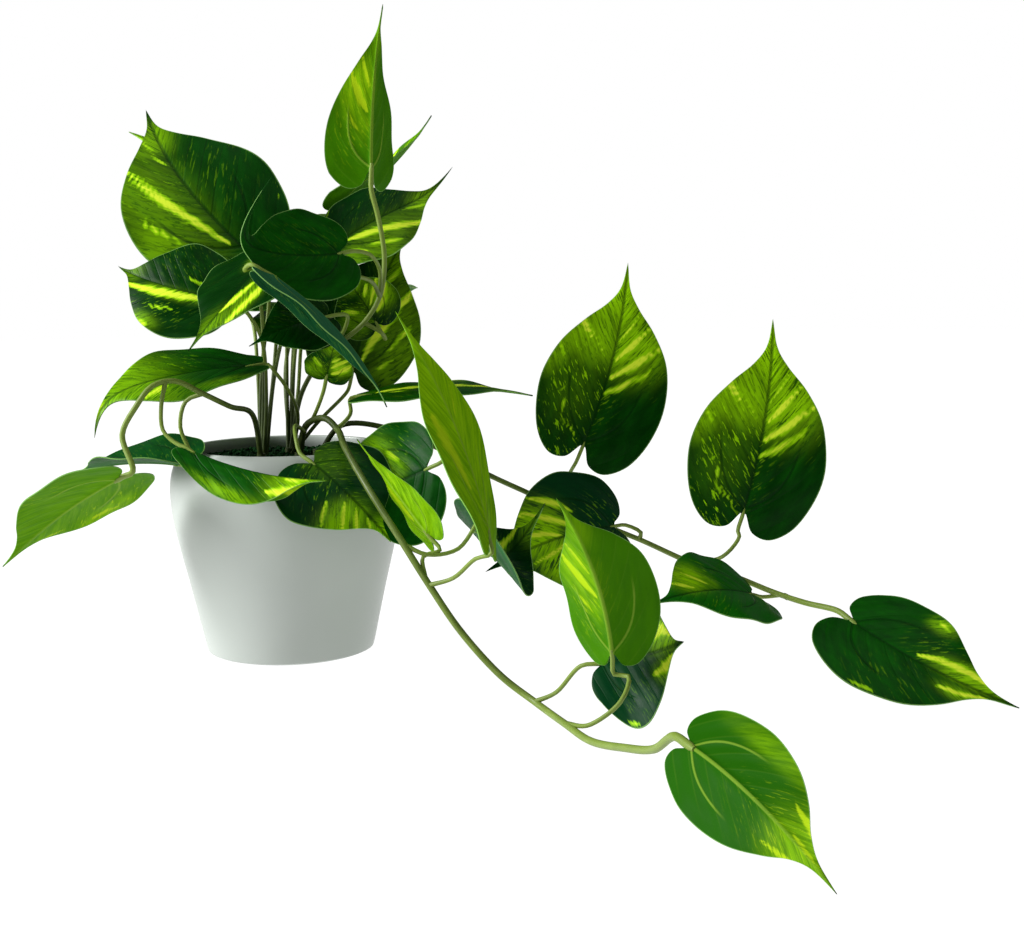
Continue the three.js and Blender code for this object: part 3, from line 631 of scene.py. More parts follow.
class LeafFinish(Finish):
    """Finish of one side of a leaf, with the fields, noises and vein lines that both sides read."""

    FLECKS = (0.57, 0.66)  # the part of the dashes that shows as flecks

    def __init__(self, name, roughness, specular):
        super().__init__(name, roughness, specular)
        self.vein, self.across, self.edge = self.field("leaf_place")
        self.streak, self.lime, self.fleck = self.field("leaf_marks")
        # The second value, tone, is partly the leaf's own green and partly painted light and shade,
        # set leaf by leaf.
        # The third value is the strength of a painted blue-grey sheen.
        self.seed, self.tone, self.teal = self.field("leaf_look")
        self.along = self.field("leaf_along")[0]
        self.reach = self.absolute(self.across)
        self.half = self.plus(self.seed, self.times(self.math("SIGN", self.across), 2.5))
        self.long = self.grain(34.0, 3.0, 4.0)  # drawn out along the side veins
        self.dash = self.grain(64.0, 7.0, 3.0)  # short dashes along them
        self.cloud = self.grain(7.0, 4.0, 2.0)
        self.side = self.side_lines()
        self.midrib = self.line(self.reach, 0.012, 0.035)
        self.rib = self.lobe_lines()

    def grain(self, fine_along, fine_across, detail):
        """A noise that follows the side veins and differs from leaf to leaf and half to half."""
        along, across = self.times(self.vein, fine_along), self.times(self.reach, fine_across)
        return self.noise(self.vector(along, across, self.half), detail=detail, rough=0.6)

    def line(self, away, full, gone):
        """1 on a line and 0 off it, by the distance away from it."""
        return self.step(away, full, gone, 1.0, 0.0)

    def side_lines(self):
        """The side veins, which fade before the margin."""
        phase = self.math("FRACT", self.plus(self.math("DIVIDE", self.vein, VEIN_STEP), 0.5))
        lines = self.line(self.absolute(self.minus(phase, 0.5)), 0.0, 0.09)
        return self.times(lines, self.step(self.reach, 0.9, 0.5))

    def lobe_lines(self):
        """The two ribs of the lobes, by the same curve as their relief."""
        run = self.math("EXPONENT", self.times(self.minus(self.along, LOBE_START), -LOBE_PULL))
        gap = self.absolute(self.minus(self.reach, self.times(self.minus(1.0, run), LOBE_REACH)))
        slope = self.math("POWER", self.times(run, LOBE_SLOPE), 2.0)
        away = self.math("DIVIDE", gap, self.math("SQRT", self.plus(slope, 1.0)))
        lines = self.times(self.line(away, 0.008, 0.03), self.line(self.along, 0.28, 0.42))
        return self.times(lines, self.step(self.along, LOBE_FOOT, 0.035))

    def close(self, green, margin, smooth, matt, relief):
        """Adds the pale margin line and feeds the shader."""
        base = self.mix(self.step(self.edge, 0.978, 0.994, 0.0, 0.7), green, margin)
        return self.surface(base, self.step(self.cloud, 0.3, 0.7, smooth, matt), relief, 0.0003)


def leaf_upper(look):
    """Dark satin green with streaks, lime zones and flecks that follow the side veins, and on some
    leaves a painted sheen: a blue-grey cast for the white surroundings reflecting on them.
    """
    f = LeafFinish("leaf_upper", look.gloss, look.shine)
    # tone is partly the leaf's own green and partly painted light and shade, set leaf by leaf
    tone = f.ruffle(f.ruffle(f.tone, f.cloud, 0.7), f.long, 0.35)
    green = f.mix(f.step(tone, -0.1, 1.0), look.dark, look.mid)
    # painted sheen: mixes in a blue-grey that stands in for the reflection of the white
    # surroundings on dark leaves
    green = f.mix(f.times(f.teal, 0.8), green, look.teal)
    # lime zones with dark specks
    zone = f.times(f.lime, f.step(f.long, 0.28, 0.6, 0.6, 1.25))
    speck = f.times(f.step(f.dash, 0.52, 0.6), f.step(f.cloud, 0.3, 0.6, 0.4, 1.0))
    green = f.mix(f.times(zone, f.minus(1.0, f.times(speck, 0.88))), green, look.lime)
    # ragged streaks: a lime halo, then a yellow core
    ragged = f.ruffle(f.streak, f.long, 1.5)
    halo = f.times(f.step(ragged, 0.16, 0.5), f.step(f.streak, 0.03, 0.25, 0.0, 0.85))
    green = f.mix(halo, green, look.lime)
    core = f.times(f.step(ragged, 0.42, 0.85), f.step(f.streak, 0.12, 0.5))
    green = f.mix(core, green, look.yellow)
    flecks = f.times(f.step(f.dash, *f.FLECKS), f.fleck)
    green = f.mix(f.times(flecks, 0.75), green, look.lime)
    # dark veins
    ribs = f.times(f.most(f.midrib, f.rib), 0.6)
    green = f.mix(f.most(f.times(f.side, 0.14), ribs), green, look.dark)
    relief = f.minus(f.minus(f.times(f.long, 0.35), f.times(f.side, 0.5)), f.rib)
    return f.close(green, look.margin, look.gloss - 0.05, look.gloss + 0.08, relief)


def leaf_under(look):
    """Paler and plainer than the upper side, with raised pale ribs and on some leaves a painted
    grey-green sheen.
    """
    f = LeafFinish("leaf_under", look.gloss + 0.1, look.shine * 0.4)
    # tone is partly the leaf's own green and partly painted light and shade, set leaf by leaf
    tone = f.ruffle(f.tone, f.cloud, 0.5)
    green = f.mix(f.step(tone, -0.2, 1.1), look.under_dark, look.under_light)
    # painted sheen: a grey-green cast that stands in for the satin reflection on some undersides
    green = f.mix(f.times(f.teal, 0.95), green, look.under_teal)
    zone = f.times(f.lime, f.step(f.long, 0.3, 0.65, 0.35, 0.95))
    green = f.mix(zone, green, look.under_lime)
    ragged = f.ruffle(f.streak, f.dash, 1.4)
    gold = f.times(f.step(ragged, 0.3, 0.8), f.step(f.streak, 0.05, 0.5, 0.0, 0.8))
    gold = f.most(gold, f.times(f.step(f.dash, *f.FLECKS, 0.0, 0.6), f.fleck))
    green = f.mix(gold, green, look.under_yellow)
    # pale ribs, the midrib fading towards the tip
    pale = f.most(f.rib, f.times(f.midrib, f.step(f.along, 0.3, 0.95, 1.0, 0.25)))
    green = f.mix(f.times(pale, 0.65), green, look.rib)
    green = f.mix(f.times(f.side, 0.06), green, look.rib)
    relief = f.plus(f.times(f.long, 0.2), f.plus(f.times(f.side, 0.3), f.rib))
    return f.close(green, look.margin, look.gloss + 0.04, look.gloss + 0.16, relief)


def studio_white(look):
    f = Finish("studio_white", 0.7, specular=0.0)
    f.feed(f.shader["Emission Color"], (1.0, 1.0, 1.0))
    f.shader["Emission Strength"].default_value = look.floor_glow
    shade = [c * 0.985 for c in look.floor]
    return f.surface(f.mix(f.noise(scale=3.0), look.floor, shade))


# ---- pot ----
def lathe(profile, segments):
    """Points and faces of (radius, height) rows turned about the upright axis."""
    points, rings = [], []
    for radius, height in profile:
        start = len(points)
        if radius < ON_AXIS:
            rings.append([start] * segments)
            points.append((0, 0, height))
            continue
        rings.append([*range(start, start + segments)])
        for turn in (2 * math.pi * i / segments for i in range(segments)):
            points.append((radius * math.cos(turn), radius * math.sin(turn), height))
    return points, skin(rings)


def build_pot(look):
    outer = smooth_row(POT_OUTER, OUTER_ROWS).tolist()
    inner = smooth_row([POT_OUTER[-1], POT_LIP, *POT_INNER], INNER_ROWS).tolist()[1:]
    points, faces = lathe([*POT_FOOT, *outer, *inner, *POT_FLOOR], look.segments)
    dress(mesh_piece("glazed_pot", points, faces, [glazed_white(look)]), "pot")


# ---- moss ----
def moss_height(x, y):
    """Rise of the mound at a place: broad and fine lumps, dying away at the rim."""
    spot = Vector((x, y, 0))
    (broad, high), (fine, low) = BROAD_LUMPS, FINE_LUMPS
    lumps = noise.fractal(spot * broad, 1.0, 2.0, 4) * high + noise.noise(spot * fine) * low
    return min(1.0, (SOIL_RADIUS - math.hypot(x, y)) / MOSS_EDGE) * lumps + MOSS_RISE


def build_moss(look):
    """A crumbly mound of moss over a plug that fills the pot's mouth."""
    random.seed(look.seed)
    rings = [SOIL_RADIUS * (1 - k / MOSS_RINGS) for k in range(MOSS_RINGS + 1)]
    plug = [(0, SOIL_FOOT), (SOIL_RADIUS - SOIL_BEVEL, SOIL_FOOT), (SOIL_RADIUS, SOIL_WALL)]
    flat, faces = lathe([*plug, *((radius, SOIL_TOP) for radius in rings)], MOSS_SEGMENTS)
    points = [(x, y, z + moss_height(x, y) if z > SOIL_WALL else z) for x, y, z in flat]

    crumb = bmesh.new()
    bmesh.ops.create_icosphere(crumb, subdivisions=1, radius=1.0)
    shape = [v.co.copy() for v in crumb.verts]
    sides = [[v.index for v in face.verts] for face in crumb.faces]
    crumb.free()
    for _ in range(look.crumbs):
        radius = (SOIL_RADIUS - CRUMB_INSET) * math.sqrt(random.random())
        turn = random.uniform(0, 2 * math.pi)
        size = random.uniform(*CRUMB_SIZE)
        lift = random.uniform(*CRUMB_LIFT) * (1 if radius < CRUMB_PILE else CRUMB_FLAT)
        centre = Vector((radius * math.cos(turn), radius * math.sin(turn), SOIL_TOP + lift))
        angle = random.uniform(0, math.pi)
        axis = Vector((random.random(), random.random(), CRUMB_AXIS_RISE))
        spin = Matrix.Rotation(angle, 3, axis)
        start = len(points)
        for v in shape:
            bump = CRUMB_LEAST + CRUMB_MORE * random.random()
            corner = spin @ Vector([p * s for p, s in zip(v, CRUMB_SHAPE)]) * size * bump
            points.append(tuple(centre + corner))
        faces += [[start + k for k in face] for face in sides]
    dress(mesh_piece("moss", points, faces, [moss_green(look)], crease=80), "soil")


# ---- leaf shape ----
def leaf_frames(values, along):
    """Point, tangent, upper normal and side along a leaf's midrib."""
    base, tip, up = (np.array(values[k], float) for k in ("base", "tip", "face"))
    axis = tip - base
    direction = axis / np.linalg.norm(axis)
    up = unit(up - direction * up.dot(direction))
    side = np.cross(direction, up)
    hook = values["hook"]
    flick = np.array(hook, float) if isinstance(hook, tuple) else up * hook
    a = np.maximum(along, 0)[:, None]
    arch, slope = 4 * a * (1 - a), 4 * (1 - 2 * a)
    bend = up * values["bow"] + side * values["sway"]
    point = base + axis * a + bend * arch + flick * a**HOOK_POWER
    tangent = axis + bend * slope + flick * HOOK_POWER * a ** (HOOK_POWER - 1)
    point = point + tangent * np.minimum(along, 0)[:, None]
    tangent = unit(tangent)
    normal = unit(up - tangent * (tangent @ up)[:, None])
    turn = np.radians(values["twist"]) * (a - TWIST_REST)
    normal = normal * np.cos(turn) + np.cross(tangent, normal) * np.sin(turn)
    return point, tangent, normal, np.cross(tangent, normal)


def leaf_surface(values, along, across):
    """Points of the blade's middle surface and its normals there."""
    point, _, normal, side = leaf_frames(values, along)
    fold = values["fold"]
    right, left = fold if isinstance(fold, tuple) else (fold, fold)
    hand = np.sign(across)[:, None]
    start = np.radians(np.where(across > 0, right, left))[:, None]
    bend = np.radians(values["curl"]) / values["half"]
    narrowing = 1 - values["taper"] * np.maximum(along, 0)
    reach = np.abs(across) * values["half"] * narrowing
    end = start - bend * reach[:, None]
    out = (np.sin(start) - np.sin(end)) / bend
    rise = (np.cos(end) - np.cos(start)) / bend
    turned = normal * np.cos(end) - side * hand * np.sin(end)
    return point + side * hand * out + normal * rise, turned


def vein_of(along, across):
    """Where on the midrib the side vein through a place starts."""
    reach = np.abs(across)
    return (along - VEIN_RISE * reach - VEIN_CURVE * reach**2) / (1 + VEIN_SPREAD * reach)


def streak_field(values, along, across, streak):
    """Strength of one painted streak at each point."""
    width, strength, *places = streak
    scale = [np.linalg.norm(np.subtract(values["tip"], values["base"])), values["half"]]
    here = np.stack([along, across], 1) * scale
    route = np.array(places) / 100 * scale
    reached = np.zeros(len(here))
    last = len(route) - 1
    for k in range(last):
        step = route[k + 1] - route[k]
        t = np.clip((here - route[k]) @ step / step.dot(step), 0, 1)
        away = np.linalg.norm(here - route[k] - t[:, None] * step, axis=1)
        broad = width * (STREAK_END + STREAK_MIDDLE * np.sin(np.pi * (k + t) / last))
        reached = np.maximum(reached, np.exp(-((away / broad) ** 2)))
    return strength / 100 * reached


def zone_field(along, across, zones):
    """Strength of the strongest painted zone at each point."""
    total = np.zeros(len(along))
    for a, c, reach_a, reach_c, strength in np.array(zones).reshape(-1, 5) / 100:
        spread = ((along - a) / reach_a) ** 2 + ((across - c) / reach_c) ** 2
        total = np.maximum(total, strength * np.exp(-(spread**ZONE_POWER)))
    return total


def blade_grid(rows, columns):
    """Place along and across a blade, and share of the way to its margin, for a grid of points."""
    edge = smooth_row(OUTLINE, rows + 1)
    start = smooth_row(MIDRIB, rows + 1)
    even = np.linspace(-1, 1, 2 * columns + 1)
    spread = np.sign(even) * np.abs(even) ** COLUMN_POWER
    margin = np.abs(spread)
    along = start + (edge[:, :1] - start) * margin
    across = np.maximum(edge[:, 1:], 0) * spread
    return along.ravel(), across.ravel(), np.tile(margin, rows + 1)


def blade_relief(look, rng, half, along, across, margin):
    """Heights of a blade's upper and under side over its middle surface."""
    reach = np.abs(across)
    off = reach * half
    to_tip = np.clip(1 - along, 0, 1)
    soft = np.clip(off / QUILT_FADE, 0, 1) * (1 - margin**6)
    quilt = -look.quilting * np.cos(2 * np.pi * vein_of(along, across) / VEIN_STEP) * soft
    waves, phase = rng.uniform(*WAVES_ALONG), rng.uniform(*WAVE_PHASES)
    shift = np.where(across > 0, WAVE_SHIFT, 0.0)
    wave = look.waves * margin**3 * np.sin(2 * np.pi * waves * along + phase + shift)
    wave *= np.clip((1 - along) / WAVE_STOP, 0, 1)
    run = np.exp(-LOBE_PULL * (along - LOBE_START))
    gap = np.abs(reach - LOBE_REACH * (1 - run)) / np.sqrt(1 + (LOBE_SLOPE * run) ** 2) * half
    lobe = np.exp(-((gap / LOBE_WIDTH) ** 2)) * np.clip((LOBE_END - along) / LOBE_FADE, 0, 1)
    lobe *= along > LOBE_FOOT
    groove = look.groove * np.exp(-((off / GROOVE_WIDTH) ** 2))
    groove = groove * (GROOVE_TIP + (1 - GROOVE_TIP) * to_tip) + LOBE_GROOVE * lobe
    ridge = look.ridge * np.exp(-((off / RIDGE_WIDTH) ** 2))
    ridge = ridge * (RIDGE_TIP + (1 - RIDGE_TIP) * to_tip) + LOBE_RIDGE * lobe
    thick = look.thickness / 2 * (1 - MARGIN_THIN * margin**4)
    return thick + quilt + wave - groove, -thick + quilt + wave - ridge


def blade_faces(rows, width):
    """Faces, their sides (0 upper, 1 under) and used points of a blade whose ends are points."""
    layer = (rows + 1) * width
    place = np.arange(2 * layer).reshape(2, rows + 1, width)
    place[:, [0, rows]] = place[:, [0, rows], width // 2, None]
    weld = place.ravel().tolist()
    faces = []
    for a in (i * width + j for i in range(rows) for j in range(width - 1)):
        b, c, d = a + 1, a + width + 1, a + width
        faces.append(((a, b, c, d), 0))
        faces.append(((a + layer, d + layer, c + layer, b + layer), 1))
    for a in (i * width for i in range(rows)):
        b = a + width
        faces.append(((a, b, b + layer, a + layer), 0))
    for a in ((i + 1) * width - 1 for i in range(rows)):
        b = a + width
        faces.append(((a + layer, b + layer, b, a), 0))
    welded = [(tuple(dict.fromkeys(weld[i] for i in face)), side) for face, side in faces]
    welded = [(face, side) for face, side in welded if len(face) > 2]
    used = sorted({i for face, _ in welded for i in face})
    new = {old: k for k, old in enumerate(used)}
    faces = [tuple(new[i] for i in face) for face, _ in welded]
    return faces, [side for _, side in welded], np.array(used)


def build_leaf(name, look, materials):
    """One leaf: a closed thin blade with its veins, soft waves and painted marks."""
    values = LEAVES[name]
    rng = random.Random("leaf_" + name)
    along, across, margin = blade_grid(look.rows, look.columns)
    middle, normal = leaf_surface(values, along, across)
    heights = blade_relief(look, rng, values["half"], along, across, margin)
    faces, sides, used = blade_faces(look.rows, 2 * look.columns + 1)
    points = np.vstack([middle + normal * height[:, None] for height in heights])[used]
    piece = mesh_piece(f"leaf_{name}_blade", points, faces, materials, sides)

    keep = used % len(along)
    marks, print_across = PRINTS[values["marks"]], across * values["flip"]
    streaks = [streak_field(values, along, print_across, streak) for streak in marks["streaks"]]
    streak = np.max([np.zeros(len(along)), *streaks], axis=0)
    lime, fleck = (zone_field(along, print_across, marks[key]) for key in ("lime", "flecks"))
    constant = [rng.uniform(0, SEEDS), values["tone"], values["teal"]]
    vein = vein_of(along, across)
    add_field(piece, "leaf_place", np.stack([vein, across, margin], 1)[keep])
    add_field(piece, "leaf_marks", np.stack([streak, lime, fleck], 1)[keep])
    add_field(piece, "leaf_look", [constant] * len(keep))
    add_field(piece, "leaf_along", along[keep])
    dress(piece, "leaf_" + name)


# ---- stems ----
def route(points, spacing):
    """Even points on the smooth centripetal curve through the given points."""
    knots = [Vector(p) for p in points]
    found = [knots[0]]
    for i in range(len(knots) - 1):
        b, c = knots[i], knots[i + 1]
        a = knots[i - 1] if i else 2 * b - c
        d = knots[i + 2] if i + 2 < len(knots) else 2 * c - b
        da, db, dc = ((q - p).length ** 0.5 for p, q in ((a, b), (b, c), (c, d)))
        out = ((b - a) / da - (c - a) / (da + db) + (c - b) / db) * db
        into = ((c - b) / db - (d - b) / (db + dc) + (d - c) / dc) * db
        square, cube = 3 * (c - b) - 2 * out - into, 2 * (b - c) + out + into
        steps = max(2, round((c - b).length / spacing))
        for t in (k / steps for k in range(1, steps + 1)):
            found.append(b + out * t + square * t**2 + cube * t**3)
    return found


def tube(points, radius, sides, thick, age):
    """Points, faces and shader places of a round closed stem.

    thick gives the radius factor from the share and length gone and the whole length; age is the
    stem's age at its two ends.
    """
    count = len(points)
    lengths = [0.0]
    for p, q in zip(points, points[1:]):
        lengths.append(lengths[-1] + (q - p).length)
    ends = [(points[max(i - 1, 0)], points[min(i + 1, count - 1)]) for i in range(count)]
    tangents = [(after - before).normalized() for before, after in ends]
    side = tangents[0].orthogonal().normalized()
    rings, place = [], []
    for point, tangent, gone in zip(points, tangents, lengths):
        side = (side - tangent * side.dot(tangent)).normalized()
        up = tangent.cross(side)
        t = gone / lengths[-1]
        r = radius * thick(t, gone, lengths[-1])
        for k in range(sides):
            turn = 2 * math.pi * k / sides
            rings.append(point + (side * math.cos(turn) + up * math.sin(turn)) * r)
            place.append((age[0] + (age[1] - age[0]) * t, math.cos(turn), gone * GRAIN_ALONG))
    numbers = [[*range(a, a + sides)] for a in range(0, count * sides, sides)]
    return rings, [numbers[0][::-1], *skin(numbers), numbers[-1]], place


def landing(name, depth):
    """Last points of a stem: in line with the midrib, ending inside the blade's rib."""
    point, tangent, normal, _ = (Vector(v[0]) for v in leaf_frames(LEAVES[name], np.zeros(1)))
    return [
        point - tangent * LANDING_RUN,
        point - tangent * LANDING_GAP - normal * LANDING_DROP,
        point + tangent * depth - normal * LANDING_SINK,
    ]


def swelling(swell):
    """Radius factor of a stem: thicker at its foot, thinner on the way, tapered inside its leaf."""

    def thick(t, gone, total):
        foot = 1 + swell * math.exp(-gone / SWELL_FADE)
        left = total - gone
        end = 1 if left > END_LENGTH else END_THIN + END_GAIN * left / END_LENGTH
        return foot * (1 - WAIST * math.sin(math.pi * t)) * end

    return thick


def stem_parts(stem, sides):
    """The crown stub, vine and petioles of one group of stems."""
    x, y = stem["crown"]
    stub = [Vector((x, y, z)) for z in np.linspace(CROWN_FOOT, CROWN_TOP, CROWN_ROWS)]
    yield tube(stub, CROWN_RADIUS, sides, lambda t, *_: 1 - CROWN_TAPER * t, CROWN_AGE)
    if "vine" in stem:
        path = route([*stem["vine"], *landing(stem["vine_leaf"], VINE_DEPTH)], ROUTE_SPACING)
        yield tube(path, stem["radius"], sides, swelling(VINE_SWELL), VINE_AGE)
    for name, way in stem["petioles"].items():
        path = route([*way, *landing(name, PETIOLE_DEPTH)], ROUTE_SPACING)
        start_x, start_y, start_z = way[0]
        near = abs(start_x - x) + abs(start_y - y) < SOIL_REACH
        age = SOIL_AGE if near and start_z < CROWN_TOP else BRANCH_AGE
        yield tube(path, PETIOLE_RADIUS, sides, swelling(PETIOLE_SWELL), age)


def build_stems(look):
    material = stem_green(look)
    for name, stem in STEMS.items():
        points, faces, places = [], [], []
        for rings, sides, place in stem_parts(stem, look.sides):
            start = len(points)
            points += rings
            faces += [tuple(start + i for i in face) for face in sides]
            places += place
        piece = mesh_piece(name + "_green", points, faces, [material])
        add_field(piece, "stem_place", places)
        dress(piece, name)


# ---- stage ----
def build_floor(look):
    points, faces = lathe([(radius, 0) for radius in FLOOR_RINGS], FLOOR_SEGMENTS)
    floor = mesh_piece("studio_floor", points, faces, [studio_white(look)])
    floor.location.z = -FLOOR_DROP


def build_air(look):
    """Dim light from all round, in front of a plain white backdrop."""
    world = bpy.data.worlds.new("studio_air")
    world.use_nodes = True
    nodes, links = world.node_tree.nodes, world.node_tree.links
    air, backdrop = nodes["Background"], nodes.new("ShaderNodeBackground")
    air.inputs["Strength"].default_value = look.air
    for background in (air, backdrop):
        background.inputs["Color"].default_value = (1, 1, 1, 1)
    seen, either = nodes.new("ShaderNodeLightPath"), nodes.new("ShaderNodeMixShader")
    links.new(seen.outputs["Is Camera Ray"], either.inputs[0])
    links.new(air.outputs[0], either.inputs[1])
    links.new(backdrop.outputs[0], either.inputs[2])
    links.new(either.outputs[0], nodes["World Output"].inputs["Surface"])
    bpy.context.scene.world = world


def build_lamps(look):
    for name, place, size, power in LAMPS:
        lamp = bpy.data.lights.new(name, "AREA")
        lamp.energy, lamp.size = getattr(look, power), size
        lamp_object = bpy.data.objects.new(name, lamp)
        lamp_object.location = place
        aim = Vector(LAMP_AIM) - Vector(place)
        lamp_object.rotation_euler = aim.to_track_quat("-Z", "Y").to_euler()
        bpy.context.scene.collection.objects.link(lamp_object)


def build_camera(look):
    lens = bpy.data.cameras.new("view")
    lens.sensor_fit, lens.sensor_width, lens.lens = "HORIZONTAL", SENSOR_WIDTH, look.lens
    camera = bpy.data.objects.new("view", lens)
    down = Matrix.Rotation(math.pi / 2 - look.pitch, 4, "X")
    lean = Matrix.Rotation(-look.roll, 4, "Z")
    camera.matrix_world = Matrix.Translation(look.stand) @ down @ lean
    bpy.context.scene.collection.objects.link(camera)
    bpy.context.scene.camera = camera
    bpy.context.scene.view_settings.view_transform = "Standard"


# ---- settings ----
def setting(kind, name, description, default, least=0, **more):
    return kind(name=name, description=description, default=default, min=least, **more)


tint = partial(setting, bpy.props.FloatVectorProperty, size=3, max=1, subtype="COLOR")
amount = partial(setting, bpy.props.FloatProperty)
whole = partial(setting, bpy.props.IntProperty)


class PotLook(bpy.types.PropertyGroup):
    """The pot's glaze and smoothness."""

    # Both tones are grey-white with a faint green cast: painted reflection of the leaves around the
    # pot.
    glaze: tint("Glaze", "Colour of the satin glaze", (0.45, 0.49, 0.455))
    glaze_shade: tint("Glaze Shade", "Second tone in the glaze", (0.43, 0.47, 0.435))
    roughness: amount("Roughness", "How matt the glaze is", 0.36, max=1, subtype="FACTOR")
    segments: whole("Segments", "Faces round the pot", 128, 24)


class MossLook(bpy.types.PropertyGroup):
    """The moss on the soil."""

    # painted shade for the hollows between the clumps
    moss_hollow_shade: tint("Dark Moss", "Colour in the hollows", (0.002, 0.008, 0.003))
    moss_light: tint("Light Moss", "Colour of the clumps", (0.006, 0.036, 0.008))
    moss_tip: tint("Moss Tips", "Colour of the brightest specks", (0.02, 0.075, 0.02))
    crumbs: whole("Crumbs", "Number of loose crumbs", 1300)
    seed: whole("Seed", "Arrangement of the crumbs", 7)


class StemLook(bpy.types.PropertyGroup):
    """Stems, petioles and vines."""

    stem_old: tint("Old Stem", "Colour near the soil", (0.03, 0.05, 0.008))
    stem_young: tint("Young Stem", "Colour near the leaves", (0.17, 0.25, 0.035))
    stem_pale: tint("Pale Streak", "Colour of the streaks along a stem", (0.34, 0.43, 0.12))
    sides: whole("Sides", "Faces round a stem", 12, 5)


class LeafLook(bpy.types.PropertyGroup):
    """Shape details and colours that all leaves share; lengths are in millimetres."""

    dark: tint("Dark Green", "Deepest green of the upper side", (0.0003, 0.022, 0.0004))
    mid: tint("Mid Green", "Lighter green of the upper side", (0.004, 0.115, 0.0005))
    # painted sheen: the blue-grey that stands in for reflections on dark leaves
    teal: tint("Teal", "Blue-green of some leaves", (0.0006, 0.035, 0.011))
    lime: tint("Lime", "Yellow-green zones", (0.26, 0.58, 0.001))
    yellow: tint("Yellow", "Brightest streaks", (0.64, 0.82, 0.035))
    margin: tint("Margin", "Thin line along the edge", (0.2, 0.4, 0.1))
    under_dark: tint("Underside", "Darker green of the underside", (0.012, 0.09, 0.001))
    under_light: tint("Light Underside", "Its lighter green", (0.06, 0.22, 0.0005))
    # painted sheen: the grey-green that stands in for satin reflection on some undersides
    under_teal: tint("Teal Underside", "Grey-green of some undersides", (0.02, 0.115, 0.05))
    under_lime: tint("Lime Underside", "Its yellow-green zones", (0.23, 0.48, 0.002))
    under_yellow: tint("Yellow Underside", "Its streaks", (0.4, 0.58, 0.008))
    rib: tint("Ribs", "Raised ribs of the underside", (0.2, 0.34, 0.03))
    gloss: amount("Roughness", "How matt a leaf is", 0.38, max=1, subtype="FACTOR")
    shine: amount("Shine", "Strength of a leaf's reflections", 0.05, max=1, subtype="FACTOR")
    thickness: amount("Thickness", "Thickness of a blade", 0.8)
    groove: amount("Groove", "Depth of the midrib's groove", 0.32)
    ridge: amount("Ridge", "Height of the rib underneath", 0.75)
    quilting: amount("Quilting", "Rise between the side veins", 0.16)
    waves: amount("Waves", "Height of the margin's waves", 0.7)
    rows: whole("Rows", "Rows of faces along a leaf", 66, 11)
    columns: whole("Columns", "Faces across half a leaf", 20, 3)


class StageLook(bpy.types.PropertyGroup):
    """Floor, light and camera."""

    floor: tint("Floor", "Colour of the floor", (0.14, 0.14, 0.14))
    floor_glow: amount("Floor Glow", "Light that the floor itself gives", 0.99)
    air: amount("Air", "Strength of the light from all round", 0.14)
    key: amount("Key", "Power of the soft light from the left", 62.0, unit="POWER")
    top: amount("Top", "Power of the soft light from above", 7.0, unit="POWER")
    rim: amount("Side", "Power of the soft light from the right", 0.8, unit="POWER")
    lens: amount("Lens", "Focal length in millimetres", 58.36)
    pitch: amount("Pitch", "How far the camera looks down", math.radians(7.21), subtype="ANGLE")
    roll: amount("Roll", "How far the camera leans", math.radians(0.7), subtype="ANGLE")
    stand: bpy.props.FloatVectorProperty(
        name="Camera", description="Where the camera stands", size=3,
        default=(0.12262, -0.89566, 0.21091), subtype="XYZ_LENGTH", unit="LENGTH")


# ---- operators ----
class PHILODENDRON_OT_stage(bpy.types.Operator):
    """Make the floor, the soft light and the camera"""

    bl_idname = "philodendron.stage"
    bl_label = "Make Stage"

    def execute(self, context):
        for build in (build_floor, build_air, build_lamps, build_camera):
            build(context.scene.philodendron_stage)
        return {"FINISHED"}


class PHILODENDRON_OT_pot(bpy.types.Operator):
    """Make the glazed pot"""

    bl_idname = "philodendron.pot"
    bl_label = "Make Pot"

    def execute(self, context):
        build_pot(context.scene.philodendron_pot)
        return {"FINISHED"}


class PHILODENDRON_OT_moss(bpy.types.Operator):
    """Make the mossy soil"""

    bl_idname = "philodendron.moss"
    bl_label = "Make Moss"

    def execute(self, context):
        build_moss(context.scene.philodendron_moss)
        return {"FINISHED"}


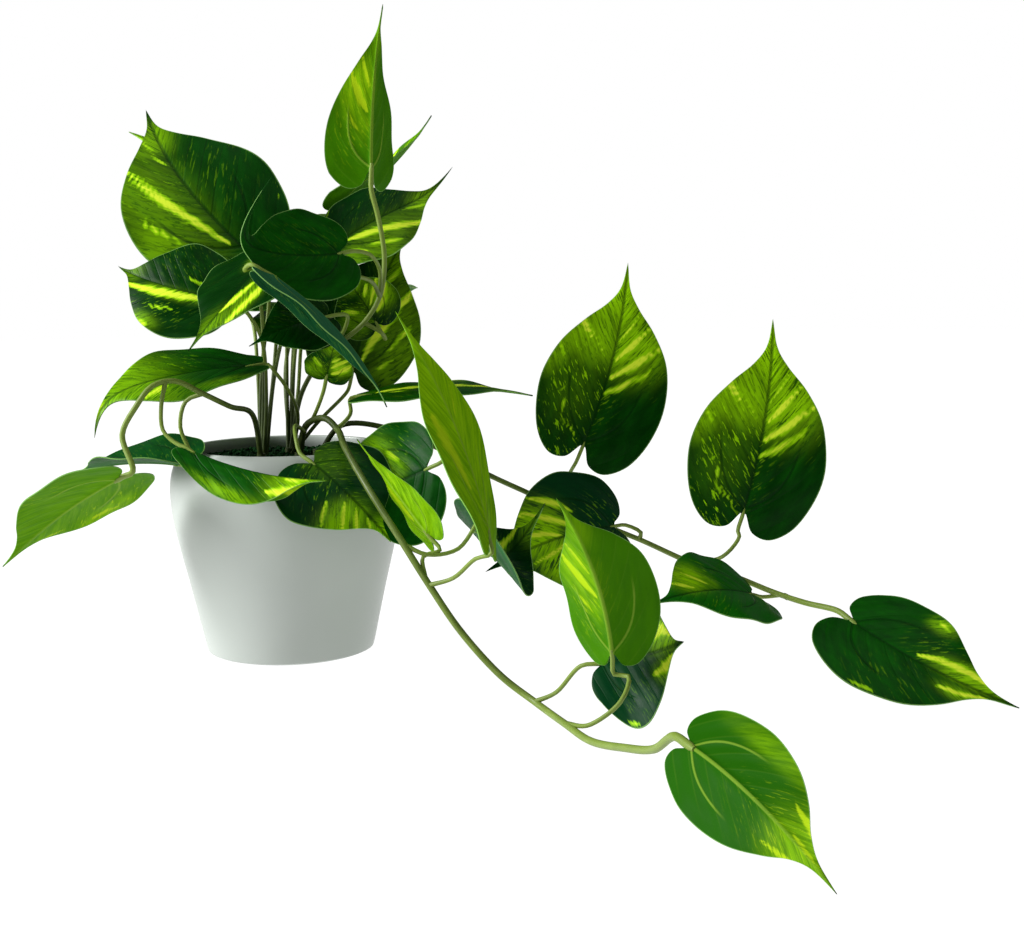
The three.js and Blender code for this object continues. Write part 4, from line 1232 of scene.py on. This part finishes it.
class PHILODENDRON_OT_stems(bpy.types.Operator):
    """Make the five groups of stems"""

    bl_idname = "philodendron.stems"
    bl_label = "Make Stems"

    def execute(self, context):
        build_stems(context.scene.philodendron_stems)
        return {"FINISHED"}


class PHILODENDRON_OT_leaves(bpy.types.Operator):
    """Make the leaves"""

    bl_idname = "philodendron.leaves"
    bl_label = "Make Leaves"

    def execute(self, context):
        look = context.scene.philodendron_leaves
        materials = [leaf_upper(look), leaf_under(look)]
        for name in LEAVES:
            build_leaf(name, look, materials)
        return {"FINISHED"}


class PHILODENDRON_PT_panel(bpy.types.Panel):
    """Lists the pieces of the plant and their settings"""

    bl_label = "Philodendron"
    bl_space_type = "VIEW_3D"
    bl_region_type = "UI"
    bl_category = "Philodendron"

    def draw(self, context):
        for operator, name, look in STEPS:
            box = self.layout.box()
            box.operator(operator.bl_idname)
            for key in look.__annotations__:
                box.prop(getattr(context.scene, name), key)


# Each operator, its settings' name in the scene, and their group.
STEPS = [
    (PHILODENDRON_OT_stage, "philodendron_stage", StageLook),
    (PHILODENDRON_OT_pot, "philodendron_pot", PotLook),
    (PHILODENDRON_OT_moss, "philodendron_moss", MossLook),
    (PHILODENDRON_OT_stems, "philodendron_stems", StemLook),
    (PHILODENDRON_OT_leaves, "philodendron_leaves", LeafLook),
]
CLASSES = [*(step[2] for step in STEPS), *(step[0] for step in STEPS), PHILODENDRON_PT_panel]


def register():
    for cls in CLASSES:
        bpy.utils.register_class(cls)
    for _, name, look in STEPS:
        setattr(bpy.types.Scene, name, bpy.props.PointerProperty(type=look))


def unregister():
    for _, name, _ in STEPS:
        delattr(bpy.types.Scene, name)
    for cls in reversed(CLASSES):
        bpy.utils.unregister_class(cls)


def main():
    """Builds everything in order."""
    register()
    bpy.ops.philodendron.stage()
    bpy.ops.philodendron.pot()
    bpy.ops.philodendron.moss()
    bpy.ops.philodendron.stems()
    bpy.ops.philodendron.leaves()
    bpy.context.view_layer.update()


if __name__ == "__main__":
    main()
